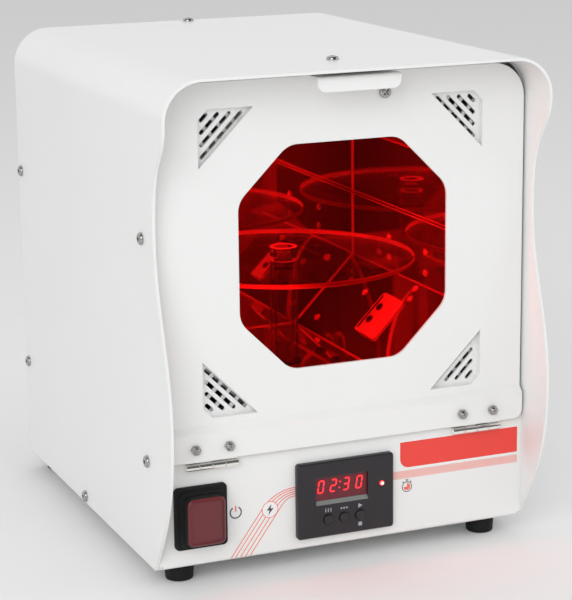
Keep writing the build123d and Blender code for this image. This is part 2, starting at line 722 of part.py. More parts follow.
def turntable_pillar():
    """Clear tube between the drive hub and the disc."""
    low = CH_FLOOR + HUB_FLANGE_T + MOVING_GAP
    length = TABLE_Z - low
    tube = rod((0, TABLE_Y, low), (0, 0, 1), PILLAR_OD, length)
    return tube - rod((0, TABLE_Y, low), (0, 0, 1), PILLAR_ID, length)


def turntable_hub():
    """Drive hub on the motor's shaft, with a spigot up into the pillar."""
    low = CH_FLOOR + MOVING_GAP
    hub = rod((0, TABLE_Y, low), (0, 0, 1), PILLAR_OD, HUB_FLANGE_T)
    hub = hub + rod((0, TABLE_Y, low), (0, 0, 1), PILLAR_ID, HUB_FLANGE_T + HUB_SPIGOT)
    hub = chamfer(hub.edges().group_by(Axis.Z)[-1], 0.8)
    return hub - rod((0, TABLE_Y, low), (0, 0, 1), SHAFT_D, HUB_SPIGOT - 2.0)


def turntable_shaft():
    """Output shaft between the motor's bearing and the hub."""
    low = MOTOR_TOP - MOTOR_H + 4.0
    high = CH_FLOOR + MOVING_GAP + HUB_SPIGOT - 2.0
    return rod((0, TABLE_Y, low), (0, 0, 1), SHAFT_D, high - low)


def turntable_cup():
    """Small clear cup whose spigot plugs the disc and the pillar."""
    top = TABLE_Z + TABLE_T
    cup = rod((0, TABLE_Y, top), (0, 0, 1), PILLAR_OD, CUP_H)
    cup = cup - rod((0, TABLE_Y, top + CUP_FLOOR_T), (0, 0, 1), PILLAR_ID, CUP_H)
    plug = TABLE_T + CUP_PLUG + CUP_FLOOR_T
    return cup + rod((0, TABLE_Y, TABLE_Z - CUP_PLUG), (0, 0, 1), PILLAR_ID, plug)


def turntable_motor():
    """Flat gear motor with a mounting plate and four spacers under the floor."""
    low = MOTOR_TOP - MOTOR_H
    body = rod((0, TABLE_Y, low), (0, 0, 1), MOTOR_D, MOTOR_H - MOTOR_PLATE_T)
    plate = Pos(0, TABLE_Y) * RectangleRounded(2 * FLOOR_SCREW_R + 10.0, MOTOR_PLATE_D, 4.0)
    body = body + extrude(Plane.XY.offset(MOTOR_TOP - MOTOR_PLATE_T) * plate, MOTOR_PLATE_T)
    spacer = CH_FLOOR - LINER_T - MOTOR_TOP
    for x, y in floor_screw_points():
        body = body + rod((x, y, MOTOR_TOP), (0, 0, 1), 7.0, spacer)
    for x, y in floor_screw_points():
        body = body - rod((x, y, MOTOR_TOP - 3.0), (0, 0, 1), SCREW_D, spacer + 3.0)
    bore = SHAFT_D + 2 * SHAFT_FIT
    return body - rod((0, TABLE_Y, low + 4.0 - MOVING_GAP), (0, 0, 1), bore, MOTOR_H)


def chamber_floor_screws():
    """Four screws through the chamber floor into the motor's plate."""
    return [screw((x, y, CH_FLOOR), (0, 0, 1), length=LINER_T + 5.5) for x, y in floor_screw_points()]


# ---- door ------------------------------------------------------------------------------
def vent_triangle(sx, sz, grow=0.0):
    """Front-view vent pocket outline in one corner, grown outwards by a wall."""
    x = VENT_X + grow
    z = VENT_UP + grow
    leg = VENT_LEG + grow * (2 + math.sqrt(2))
    cut = VENT_CHAMFER + grow * (2 - math.sqrt(2))
    points = [(x, z - leg), (x, z - cut), (x - cut, z), (x - leg, z)]
    return Polygon(*[(sx * px, WINDOW_Z + sz * pz) for px, pz in points], align=None)


def vent_slots(sx, sz):
    """Four slots across one vent pocket's floor."""
    edge_x = VENT_X - VENT_SLOT_EDGE
    edge_z = VENT_UP - VENT_SLOT_EDGE
    far = VENT_SLOT_W / 2
    slots = []
    for i in range(VENT_SLOTS):
        drop = VENT_SLOT_FIRST + i * VENT_SLOT_PITCH
        run = drop - far
        x = edge_x - far - (run - far) / 2
        z = edge_z - far - (run - far) / 2
        slot = SlotCenterToCenter((run - far) * math.sqrt(2), VENT_SLOT_W, rotation=-45 * sx * sz)
        slots.append(Pos(sx * x, WINDOW_Z + sz * z) * slot)
    return fuse(slots)


def plate_slots(sx, sz):
    """Crossing slots of the inner plate behind one vent pocket."""
    total = VENT_X + VENT_UP - VENT_SLOT_FIRST
    slots = []
    for i in range(-2, 3):
        aside = i * PLATE_SLOT_PITCH
        limit = VENT_X + VENT_UP + 4.0 - math.sqrt(2) * abs(aside)
        high = min(total, limit)
        low = total - PLATE_SLOT_REACH
        middle = (high + low) / 4
        shift = aside / math.sqrt(2)
        x = middle + (VENT_X - VENT_UP) / 2 + shift
        z = middle - (VENT_X - VENT_UP) / 2 - shift
        length = (high - low) / math.sqrt(2)
        slot = SlotOverall(length, PLATE_SLOT_W, rotation=45 * sx * sz)
        slots.append(Pos(sx * x, WINDOW_Z + sz * z) * slot)
    return fuse(slots)


CORNERS = [(-1, -1), (-1, 1), (1, -1), (1, 1)]


def door_panel():
    """Door sheet with window, vent pockets and the forward strip at its foot."""
    half_step = STRIP_STEP / 2
    corner = DOOR_T * math.tan(math.radians(22.5))
    front_line = [(0, DOOR_TOP), (0, BEND_Z + half_step), (-STRIP_STEP, BEND_Z - half_step), (-STRIP_STEP, STRIP_LOW)]
    back_line = [(STRIP_BACK, STRIP_LOW), (STRIP_BACK, BEND_Z - half_step - corner)]
    back_line = back_line + [(DOOR_T, BEND_Z + half_step - corner), (DOOR_T, DOOR_TOP)]
    sheet = side(Polygon(*front_line, *back_line, align=None), -DOOR_HALF, DOOR_HALF)
    outline = arch(DOOR_HALF, STRIP_LOW, DOOR_TOP, DOOR_R)
    outline = fillet(outline.vertices().group_by(Axis.Y)[0], STRIP_R)
    sheet = sheet & front(outline, -STRIP_STEP - 1, DOOR_T + 1)
    pocket_back = VENT_DEPTH + VENT_WALL
    for sx, sz in CORNERS:
        sheet = sheet + front(vent_triangle(sx, sz, VENT_WALL), 0, pocket_back)
    window = octagon(WINDOW_HALF_W, WINDOW_HALF_H, WINDOW_CHAMFER, WINDOW_Z, WINDOW_R)
    sheet = sheet - front(window, -1, DOOR_T + 1)
    for sx, sz in CORNERS:
        sheet = sheet - front(vent_triangle(sx, sz), -1, VENT_DEPTH)
        sheet = sheet - front(vent_slots(sx, sz), 0, pocket_back + 1)
    sheet = sheet - rod((STRIKE_X, -1, STRIKE_Z), (0, 1, 0), BOLT_D, DOOR_T + 2)
    for piece in door_hinge_bolts() + [door_handle()]:
        sheet = sheet - piece
    return sheet


def door_window():
    """Red pane bonded to the door's back."""
    pane = octagon(
        WINDOW_HALF_W + PANE_LAP,
        WINDOW_HALF_H + PANE_LAP,
        WINDOW_CHAMFER + PANE_LAP * (2 - math.sqrt(2)),
        WINDOW_Z,
        WINDOW_R,
    )
    return front(pane, DOOR_T, DOOR_T + PANE_T)


def door_inner_plate():
    """Folded inner plate: a mirror ring round the window with crossing slots at the vents."""
    half_w = VENT_X + PLATE_MARGIN
    half_h = VENT_UP + VENT_WALL + PLATE_T + MOVING_GAP
    back = PLATE_Y + PLATE_T
    outline = Pos(0, WINDOW_Z) * Rectangle(2 * half_w, 2 * half_h)
    inside = Pos(0, WINDOW_Z) * Rectangle(2 * (half_w - PLATE_T), 2 * (half_h - PLATE_T))
    plate = front(outline, DOOR_T, back) - front(inside, DOOR_T, PLATE_Y)
    opening = octagon(WINDOW_HALF_W + 6.0, WINDOW_HALF_H + 6.0, WINDOW_CHAMFER, WINDOW_Z, WINDOW_R)
    plate = plate - front(opening, DOOR_T, back)
    for sx, sz in CORNERS:
        plate = plate - front(plate_slots(sx, sz), PLATE_Y, back)
    top = WINDOW_Z + half_h
    notch = block(
        (-PLATE_NOTCH_HALF, PLATE_NOTCH_HALF),
        (DOOR_T, back),
        (top - PLATE_NOTCH_H, top),
    )
    return plate - notch


def door_handle():
    """Bent pull at the door's top edge: flange behind the door, lip forward, tab down."""
    back = DOOR_T + DOOR_T
    top = DOOR_TOP + DOOR_T
    points = [(back, DOOR_TOP - HANDLE_FLANGE_H), (back, top), (-HANDLE_OUT, top), (-HANDLE_OUT, top - HANDLE_DROP)]
    bar = side(bent(points, DOOR_T, Side.LEFT, DOOR_T + 0.4), -HANDLE_HALF, HANDLE_HALF)
    beside = block((HANDLE_FLANGE_HALF, HANDLE_HALF), (DOOR_T, back), (DOOR_TOP - HANDLE_FLANGE_H, DOOR_TOP))
    bar = bar - fuse(both_sides([beside]))
    tab_low = top - HANDLE_DROP
    square = block((HANDLE_HALF - HANDLE_R, HANDLE_HALF), (-HANDLE_OUT, DOOR_T - HANDLE_OUT), (tab_low, tab_low + HANDLE_R))
    disc = rod((HANDLE_HALF - HANDLE_R, -HANDLE_OUT, tab_low + HANDLE_R), (0, 1, 0), 2 * HANDLE_R, DOOR_T)
    return bar - fuse(both_sides([square - disc]))


def door_strike():
    """Steel strike disc behind the door and, left of it, the sensor's magnet."""
    disc = rod((STRIKE_X, DOOR_T, STRIKE_Z), (0, 1, 0), STRIKE_D, STRIKE_T)
    disc = disc - rod((STRIKE_X, DOOR_T, STRIKE_Z), (0, 1, 0), BOLT_D, STRIKE_T - 1.0)
    magnet = block((-STRIKE_X - 6, -STRIKE_X + 6), (DOOR_T, DOOR_T + STRIKE_T), (STRIKE_Z - 3, STRIKE_Z + 3))
    return [disc, magnet]


def strike_screw():
    """Pan-head cross-recess screw on the door's face."""
    head = Cylinder(SCREW_HEAD_D / 2, SCREW_HEAD_H, align=BASE)
    head = fillet(head.edges().group_by(Axis.Z)[-1], SCREW_HEAD_H * 0.7)
    for turn in (45, 135):
        head = head - Rot(0, 0, turn) * Pos(0, 0, SCREW_HEAD_H - 1.2) * Box(4.2, 0.9, 2.0, align=BASE)
    shank = Pos(0, 0, -DOOR_T - STRIKE_T + 1.0) * Cylinder(BOLT_D / 2, DOOR_T + STRIKE_T - 1.0, align=BASE)
    return Plane(origin=(STRIKE_X, 0, STRIKE_Z), z_dir=(0, -1, 0)) * (head + shank)


def magnet_catch():
    """Magnet holder on the bulkhead behind the strike, and the door sensor beside it."""
    face = DOOR_T + STRIKE_T + MOVING_GAP
    half = CATCH_SIZE / 2
    catch = block((STRIKE_X - half, STRIKE_X + half), (face, BULKHEAD_Y), (STRIKE_Z - half, STRIKE_Z + half))
    return fillet(catch.edges().filter_by(Axis.Y), 1.5)


def door_sensor():
    """Small magnetic switch that tells whether the door is shut."""
    face = DOOR_T + STRIKE_T + MOVING_GAP
    return block((-STRIKE_X - 10, -STRIKE_X + 10), (face, BULKHEAD_Y), (STRIKE_Z - 4, STRIKE_Z + 4))


# ---- hinges ----------------------------------------------------------------------------
def bolt_points():
    """Hinge bolt places (x, z)."""
    xs = [HINGE_X - HINGE_BOLT_X, HINGE_X + HINGE_BOLT_X]
    return [(s * x, HINGE_Z + HINGE_BOLT_UP) for s in (-1, 1) for x in xs]


def door_hinge_bolts():
    """Countersunk bolts from behind through leaf and strip."""
    at_y = STRIP_BACK + LEAF_T
    length = LEAF_T + DOOR_T + NUT_TOTAL - 1.4
    return [sunk_bolt((x, at_y, z), (0, 1, 0), length) for x, z in bolt_points()]


def case_hinge_screws():
    """Countersunk screws through the fixed leaves and the control panel."""
    length = LEAF_T + TRAY_T + NUT_H + 1.0
    return [sunk_bolt((x, -LEAF_T, z), (0, -1, 0), length) for x, z in bolt_points()]


def case_hinge_nuts():
    """Plain nuts behind the control panel."""
    nuts = []
    for x, z in bolt_points():
        plane = Plane(origin=(x, TRAY_T, z), z_dir=(0, 1, 0))
        nut = extrude(RegularPolygon(NUT_AF / 2, 6, major_radius=False, rotation=30), NUT_H)
        nut = nut - Cylinder(BOLT_D / 2, NUT_H, align=BASE)
        nuts.append(plane * nut)
    return nuts


def acorn_nuts():
    """Domed nuts on the door strip."""
    nuts = []
    dome_r = NUT_AF / 2 - 0.2
    for x, z in bolt_points():
        plane = Plane(origin=(x, -STRIP_STEP, z), z_dir=(0, -1, 0))
        nut = extrude(RegularPolygon(NUT_AF / 2, 6, major_radius=False, rotation=30), NUT_H)
        nut = nut + Cylinder(dome_r, NUT_TOTAL - dome_r, align=BASE)
        nut = nut + Pos(0, 0, NUT_TOTAL - dome_r) * Sphere(dome_r, arc_size1=0)
        nut = nut - Cylinder(BOLT_D / 2, NUT_TOTAL - 1.4, align=BASE)
        nuts.append(plane * nut)
    return nuts


def hinge_leaf(middle, moving):
    """One leaf of a butt hinge with its half of the knuckles."""
    ys = (STRIP_BACK, STRIP_BACK + LEAF_T) if moving else (-LEAF_T, 0)
    left = middle - HINGE_L / 2
    pitch = HINGE_L / KNUCKLES
    clear_z = HINGE_Z + BARREL_D / 2 + BARREL_GAP
    leaf = block((left, left + HINGE_L), ys, (clear_z, HINGE_Z + LEAF_H))
    bore = PIN_D + (2 * SHAFT_FIT if moving else 0)
    own = 1 if moving else 0
    for i in range(own, KNUCKLES, 2):
        x0 = left + i * pitch + MOVING_GAP / 2
        x1 = left + (i + 1) * pitch - MOVING_GAP / 2
        knuckle = rod((x0, HINGE_Y, HINGE_Z), (1, 0, 0), BARREL_D, x1 - x0)
        knuckle = knuckle + block((x0, x1), ys, (HINGE_Z, clear_z + LEAF_T))
        leaf = leaf + (knuckle - rod((x0, HINGE_Y, HINGE_Z), (1, 0, 0), bore, x1 - x0))
    bolts = door_hinge_bolts() if moving else case_hinge_screws()
    for bolt in bolts:
        leaf = leaf - bolt
    return leaf


def hinge_pins():
    """Pins through the knuckles."""
    return [rod((s * HINGE_X - HINGE_L / 2, HINGE_Y, HINGE_Z), (1, 0, 0), PIN_D, HINGE_L) for s in (-1, 1)]


# ---- switch ----------------------------------------------------------------------------
def switch_bezel():
    """Stepped rubber frame on the control panel."""
    low = rounded_rect(SWITCH_X, SWITCH_Z, SWITCH_W, SWITCH_H, 3.0)
    high = rounded_rect(SWITCH_X, SWITCH_Z, SWITCH_W - 2 * SWITCH_INSET, SWITCH_H - 2 * SWITCH_INSET, 2.5)
    well = rounded_rect(SWITCH_X, SWITCH_Z, SWITCH_WELL_W, SWITCH_WELL_H, 1.0)
    low_block = front(low, -SWITCH_STEP, 0)
    low_block = fillet(low_block.faces().sort_by(Axis.Y)[0].edges(), 1.2)
    return low_block + front(high, -2 * SWITCH_STEP, -SWITCH_STEP) - front(well, -2 * SWITCH_STEP, 0)


def switch_cap():
    """Thin soft splash cap over the rocker."""
    base_y = -2 * SWITCH_STEP
    outer = front(rounded_rect(SWITCH_X, SWITCH_Z, CAP_W, CAP_H, 4.0), base_y - CAP_OUT, base_y)
    outer = fillet(outer.faces().sort_by(Axis.Y)[0].edges(), 2.5)
    inner_shape = rounded_rect(SWITCH_X, SWITCH_Z, CAP_W - 2 * CAP_WALL, CAP_H - 2 * CAP_WALL, 3.0)
    inner = front(inner_shape, base_y - CAP_OUT + CAP_WALL, base_y)
    inner = fillet(inner.faces().sort_by(Axis.Y)[0].edges(), 1.6)
    return outer - inner


def switch_body():
    """Switch housing behind the panel with a well for the rocker."""
    body = front(rounded_rect(SWITCH_X, SWITCH_Z, SWITCH_BODY_W, SWITCH_BODY_H, 1.0), 0, SWITCH_BODY_DEPTH)
    body = body - front(rounded_rect(SWITCH_X, SWITCH_Z, SWITCH_WELL_W, SWITCH_WELL_H, 1.0), 0, SWITCH_WELL_DEPTH)
    pin_y = ROCKER_Y + ROCKER_PIN_D
    return body - rod((SWITCH_X - SWITCH_BODY_W / 2 + 1, pin_y, SWITCH_Z), (1, 0, 0), ROCKER_PIN_D, SWITCH_BODY_W - 2)


def switch_terminals():
    """Four push-on terminal blades behind the switch."""
    blades = []
    for sx in (-1, 1):
        for sz in (-1, 1):
            x = SWITCH_X + sx * 6.0
            z = SWITCH_Z + sz * 8.0
            ys = (SWITCH_BODY_DEPTH, SWITCH_BODY_DEPTH + 9.0)
            blades.append(block((x - 0.4, x + 0.4), ys, (z - 3.15, z + 3.15)))
    return blades


def switch_pin():
    """Pivot pin across the switch's well."""
    pin_y = ROCKER_Y + ROCKER_PIN_D
    return rod((SWITCH_X - SWITCH_BODY_W / 2 + 1, pin_y, SWITCH_Z), (1, 0, 0), ROCKER_PIN_D, SWITCH_BODY_W - 2)


def switch_rocker():
    """Rocker with a hollow-curved face, shown pressed at its lower half."""
    width = SWITCH_WELL_W - 2 * ROCKER_GAP
    height = SWITCH_WELL_H - 2 * ROCKER_END_GAP
    pin_y = ROCKER_Y + ROCKER_PIN_D
    half = height / 2
    face = ThreePointArc((-ROCKER_OUT, -half), (-ROCKER_OUT + 1.8, 0), (-ROCKER_OUT, half))
    back = Polyline((-ROCKER_OUT, half), (ROCKER_DEPTH, half * 0.8), (ROCKER_DEPTH, -half * 0.8), (-ROCKER_OUT, -half))
    body = side(make_face(face.edges() + back.edges()), -width / 2, width / 2)
    bore = rod((-width / 2, pin_y, 0), (1, 0, 0), ROCKER_PIN_D + 2 * SHAFT_FIT, width)
    turned = Rot(ROCKER_TILT, 0, 0) * Pos(0, -pin_y, 0) * (body - bore)
    return Pos(SWITCH_X, pin_y, SWITCH_Z) * turned


# ---- timer -----------------------------------------------------------------------------
def timer_bezel():
    """Black timer front with its skirt through the panel."""
    plate = front(rounded_rect(TIMER_X, TIMER_Z, TIMER_W, TIMER_H, 2.0), -TIMER_OUT, 0)
    plate = chamfer(plate.faces().sort_by(Axis.Y)[0].edges(), 0.8)
    skirt = front(rounded_rect(TIMER_X, TIMER_Z, TIMER_BACK_W, TIMER_BACK_H, 1.0), 0, TIMER_DEPTH)
    inner_w = TIMER_BACK_W - 2 * TIMER_WALL
    inner_h = TIMER_BACK_H - 2 * TIMER_WALL
    wall_back = -TIMER_OUT + TIMER_WALL
    body = plate + skirt - block(
        (TIMER_X - inner_w / 2, TIMER_X + inner_w / 2),
        (wall_back, TIMER_DEPTH),
        (TIMER_Z - inner_h / 2, TIMER_Z + inner_h / 2),
    )
    half = DISPLAY_W / 2
    low = DISPLAY_Z - DISPLAY_H / 2
    body = body - block((DISPLAY_X - half, DISPLAY_X + half), (-TIMER_OUT, wall_back), (low, low + DISPLAY_H))
    ledge = Polygon((-TIMER_OUT, low), (-TIMER_OUT, low - LEDGE_H), (wall_back, low), align=None)
    body = body - side(ledge, DISPLAY_X - half, DISPLAY_X + half)
    for x in KEY_XS.values():
        body = body - rod((x, -TIMER_OUT, KEY_Z), (0, 1, 0), KEY_D + 2 * KEY_FIT, TIMER_WALL)
    return body - rod((LAMP_X, -TIMER_OUT, LAMP_Z), (0, 1, 0), LAMP_D, TIMER_WALL)


def timer_display():
    """Four-digit display module behind the bezel's opening."""
    face = -TIMER_OUT + TIMER_WALL
    half_w = DISPLAY_W / 2 + DISPLAY_LAP
    half_h = DISPLAY_H / 2 + DISPLAY_LAP
    return block((DISPLAY_X - half_w, DISPLAY_X + half_w), (face, TIMER_BOARD_Y), (DISPLAY_Z - half_h, DISPLAY_Z + half_h))


def timer_lamp():
    """Round red indicator lamp beside the display."""
    lamp = rod((LAMP_X, -TIMER_OUT, LAMP_Z), (0, 1, 0), LAMP_D, TIMER_BOARD_Y + TIMER_OUT)
    return lamp + Pos(LAMP_X, -TIMER_OUT, LAMP_Z) * Sphere(LAMP_D / 2)


def timer_board():
    """Circuit board inside the timer's skirt."""
    half_w = TIMER_BACK_W / 2 - TIMER_WALL
    half_h = TIMER_BACK_H / 2 - TIMER_WALL
    ys = (TIMER_BOARD_Y, TIMER_BOARD_Y + PCB_T)
    return block((TIMER_X - half_w, TIMER_X + half_w), ys, (TIMER_Z - half_h, TIMER_Z + half_h))


def timer_key_switches():
    """Small push switches on the board under the keys."""
    half = TACT_SIZE / 2
    pieces = []
    for x in KEY_XS.values():
        body = block((x - half, x + half), (TACT_Y + 1.0, TIMER_BOARD_Y), (KEY_Z - half, KEY_Z + half))
        pieces.append(body + rod((x, TACT_Y, KEY_Z), (0, 1, 0), 3.0, 1.0))
    return pieces


def timer_key(x):
    """Round key guided in the bezel, with a retaining flange and a stem."""
    wall_back = -TIMER_OUT + TIMER_WALL
    flange_y = wall_back + MOVING_GAP
    key = rod((x, -TIMER_OUT - KEY_OUT, KEY_Z), (0, 1, 0), KEY_D, TIMER_OUT + KEY_OUT + flange_y)
    key = fillet(key.edges().group_by(Axis.Y)[0], 0.6)
    key = key + rod((x, flange_y, KEY_Z), (0, 1, 0), KEY_FLANGE_D, 1.0)
    return key + rod((x, flange_y, KEY_Z), (0, 1, 0), KEY_STEM_D, TACT_Y - KEY_TRAVEL - MOVING_GAP - flange_y)


# ---- fan -------------------------------------------------------------------------------
def fan_screw_points():
    """Fan screw places (x, z)."""
    half = FAN_SCREW_SPAN / 2
    return [(sx * half, FAN_Z + sz * half) for sx, sz in CORNERS]


def fan_housing():
    """Square fan frame with a bearing tube on four struts."""
    y0 = REAR_Y - FAN_DEPTH
    frame = front(rounded_rect(0, FAN_Z, FAN_SIZE, FAN_SIZE, 4.0), y0, REAR_Y)
    frame = frame - rod((0, y0, FAN_Z), (0, 1, 0), FAN_BORE, FAN_DEPTH)
    hub_y = REAR_Y - 4.0
    hub = rod((0, hub_y, FAN_Z), (0, 1, 0), FAN_HUB_D - 4.0, 4.0)
    reach = FAN_BORE / 2 + 0.5
    struts = [block((-reach, reach), (hub_y, REAR_Y), (FAN_Z - 1.5, FAN_Z + 1.5))]
    struts.append(block((-1.5, 1.5), (hub_y, REAR_Y), (FAN_Z - reach, FAN_Z + reach)))
    tube = rod((0, y0 + 6.0, FAN_Z), (0, 1, 0), 8.0, FAN_DEPTH - 6.0)
    body = fuse([frame, hub, tube] + struts)
    body = body - rod((0, y0 + 6.0, FAN_Z), (0, 1, 0), 3.0 + 2 * SHAFT_FIT, FAN_DEPTH - 8.0)
    for x, z in fan_screw_points():
        body = body - rod((x, y0, z), (0, 1, 0), SCREW_D, FAN_DEPTH)
    return body


def fan_rotor():
    """Rotor cup with pitched blades and a steel shaft in one moulding."""
    y0 = REAR_Y - FAN_DEPTH + 1.0
    cup_len = 17.0
    cup = rod((0, y0, FAN_Z), (0, 1, 0), FAN_HUB_D, cup_len)
    cup = cup - rod((0, y0 + 2.5, FAN_Z), (0, 1, 0), FAN_HUB_D - 3.0, cup_len)
    tip = FAN_BORE / 2 - FAN_TIP_GAP
    ring = Circle(tip) - Circle(FAN_HUB_D / 2 - 1.0)
    zone = front(Pos(0, FAN_Z) * ring, y0, y0 + cup_len)
    blades = []
    for i in range(FAN_BLADES):
        blade = Pos((tip + FAN_HUB_D / 2) / 2, 0, 0) * Rot(50, 0, 0) * Box(tip - FAN_HUB_D / 2 + 6, 1.4, 26.0)
        spin = Rot(0, 360.0 / FAN_BLADES * i, 0)
        blades.append((Pos(0, y0 + cup_len / 2, FAN_Z) * spin * blade) & zone)
    shaft = rod((0, y0 + 2.0, FAN_Z), (0, 1, 0), 3.0, FAN_DEPTH - 6.0)
    return fuse([cup, shaft] + blades)


def fan_guard():
    """Wire guard on the rear panel."""
    wire = GUARD_WIRE
    y = REAR_Y + REAR_T + wire / 2
    plane = Plane(origin=(0, y, FAN_Z), z_dir=(0, 1, 0))
    parts = []
    for radius in (10.0, 20.0, 30.0, 38.5):
        parts.append(plane * Torus(radius, wire / 2))
    half = FAN_SCREW_SPAN / 2
    for sx in (-1, 1):
        start = (sx * half, y + wire * 0.6, FAN_Z - half)
        parts.append(rod(start, (-sx, 0, 1), wire, FAN_SCREW_SPAN * math.sqrt(2)))
    guard = fuse(parts)
    for x, z in fan_screw_points():
        guard = guard + rod((x, y - wire / 2, z), (0, 1, 0), 8.0, 1.6 * wire)
    for x, z in fan_screw_points():
        guard = guard - rod((x, y - wire, z), (0, 1, 0), SCREW_D, 3 * wire)
    return guard


def fan_screws():
    """Screws through guard and rear panel into the fan frame."""
    y = REAR_Y + REAR_T + 1.6 * GUARD_WIRE
    return [screw((x, y, z), (0, 1, 0), length=14.0) for x, z in fan_screw_points()]


# ---- mains inlet and supply ------------------------------------------------------------
def mains_inlet():
    """Appliance inlet with a fuse drawer above its socket."""
    face = REAR_Y + REAR_T
    flange = front(rounded_rect(INLET_X, INLET_Z, INLET_W, INLET_H, 4.0), face, face + INLET_FLANGE_T)
    body = front(
        rounded_rect(INLET_X, INLET_Z, INLET_BODY_W, INLET_H - 4.0, 1.0),
        face - INLET_BODY_DEPTH,
        face,
    )
    inlet = flange + body
    out = face + INLET_FLANGE_T
    socket = Polygon(
        (-SOCKET_W / 2, -SOCKET_H / 2),
        (SOCKET_W / 2, -SOCKET_H / 2),
        (SOCKET_W / 2, SOCKET_H / 2 - 4.0),
        (SOCKET_W / 2 - 4.0, SOCKET_H / 2),
        (4.0 - SOCKET_W / 2, SOCKET_H / 2),
        (-SOCKET_W / 2, SOCKET_H / 2 - 4.0),
        align=None,
    )
    inlet = inlet - front(Pos(INLET_X, inlet_socket_z()) * socket, out - SOCKET_DEPTH, out)
    inlet = inlet - front(rounded_rect(INLET_X, fuse_z(), SOCKET_W, FUSE_H, 0.8), out - 12.0, out)
    for s in (-1, 1):
        inlet = inlet - rod((INLET_X + s * 20.0, face - 1, INLET_Z), (0, 1, 0), BOLT_D, INLET_FLANGE_T + 2)
    return inlet


def inlet_socket_z():
    """Middle height of the inlet's socket."""
    return INLET_Z - 3.6


def fuse_z():
    """Middle height of the fuse drawer."""
    return inlet_socket_z() + SOCKET_H / 2 + 1.0 + FUSE_H / 2


def inlet_pins():
    """Three flat contact pins of the inlet."""
    out = REAR_Y + REAR_T + INLET_FLANGE_T
    pins = []
    for x, z in ((-7.0, -2.0), (7.0, -2.0), (0.0, 2.0)):
        ys = (out - SOCKET_DEPTH, out - 4.0)
        middle = inlet_socket_z() + z
        pins.append(block((INLET_X + x - 1.0, INLET_X + x + 1.0), ys, (middle - 2.0, middle + 2.0)))
    return pins


def fuse_drawer():
    """Small drawer with a finger notch above the socket."""
    out = REAR_Y + REAR_T + INLET_FLANGE_T
    drawer = front(rounded_rect(INLET_X, fuse_z(), SOCKET_W, FUSE_H, 0.8), out - 12.0, out + 1.0)
    return drawer - block((INLET_X - 4, INLET_X + 4), (out - 0.5, out + 1.0), (fuse_z() - 1.5, fuse_z() + 1.5))


def inlet_screws():
    """Two screws that hold the inlet."""
    y = REAR_Y + REAR_T + INLET_FLANGE_T
    points = [(INLET_X + s * 20.0, y, INLET_Z) for s in (-1, 1)]
    return [screw(p, (0, 1, 0), head_d=5.5, head_h=1.6, shank_d=BOLT_D, length=9.0) for p in points]


def power_supply():
    """Closed supply box on the base with a terminal strip at its rear end."""
    low = TRAY_T
    x0 = PSU_X - PSU[0] / 2
    y0 = PSU_Y - PSU[1] / 2
    box = block((x0, x0 + PSU[0]), (y0, y0 + PSU[1]), (low, low + PSU[2]))
    box = fillet(box.edges().filter_by(Axis.Y), 1.5)
    strip = block((x0 + 6, x0 + PSU[0] - 6), (y0 + PSU[1] - 14, y0 + PSU[1]), (low + 18, low + PSU[2]))
    box = box - strip
    for i in range(5):
        x = x0 + 11 + i * (PSU[0] - 22) / 4
        box = box + block((x - 2.5, x + 2.5), (y0 + PSU[1] - 13, y0 + PSU[1] - 3), (low + 18, low + 28))
    return box


def board_corners():
    """Standoff places of the driver board."""
    dx = BOARD[0] / 2 - 5.0
    dy = BOARD[1] / 2 - 5.0
    return [(BOARD_X + sx * dx, BOARD_Y + sy * dy) for sx, sy in CORNERS]


def driver_board():
    """Lamp driver board on four standoffs."""
    low = TRAY_T + STANDOFF_H
    xs = (BOARD_X - BOARD[0] / 2, BOARD_X + BOARD[0] / 2)
    return block(xs, (BOARD_Y - BOARD[1] / 2, BOARD_Y + BOARD[1] / 2), (low, low + PCB_T))


def board_standoffs():
    """Four hexagonal standoffs."""
    post = extrude(RegularPolygon(NUT_AF / 2, 6, major_radius=False), STANDOFF_H)
    return [Pos(x, y, TRAY_T) * post for x, y in board_corners()]


def board_components():
    """Capacitors, relay, choke and terminal block on the driver board."""
    top = TRAY_T + STANDOFF_H + PCB_T
    pieces = []
    for i in range(3):
        pieces.append(rod((BOARD_X - 26.0 + 13.0 * i, BOARD_Y - 30.0, top), (0, 0, 1), 10.0, 16.0))
    pieces.append(block((BOARD_X + 10, BOARD_X + 30), (BOARD_Y - 36, BOARD_Y - 20), (top, top + 15)))
    ring = Circle(11.0) - Circle(5.0)
    pieces.append(Pos(BOARD_X - 18.0, BOARD_Y + 4.0, top) * extrude(ring, 10.0))
    pieces.append(block((BOARD_X - 30, BOARD_X + 30), (BOARD_Y + 28, BOARD_Y + 38), (top, top + 12)))
    pieces.append(block((BOARD_X + 4, BOARD_X + 24), (BOARD_Y - 6, BOARD_Y + 14), (top, top + 2)))
    return pieces


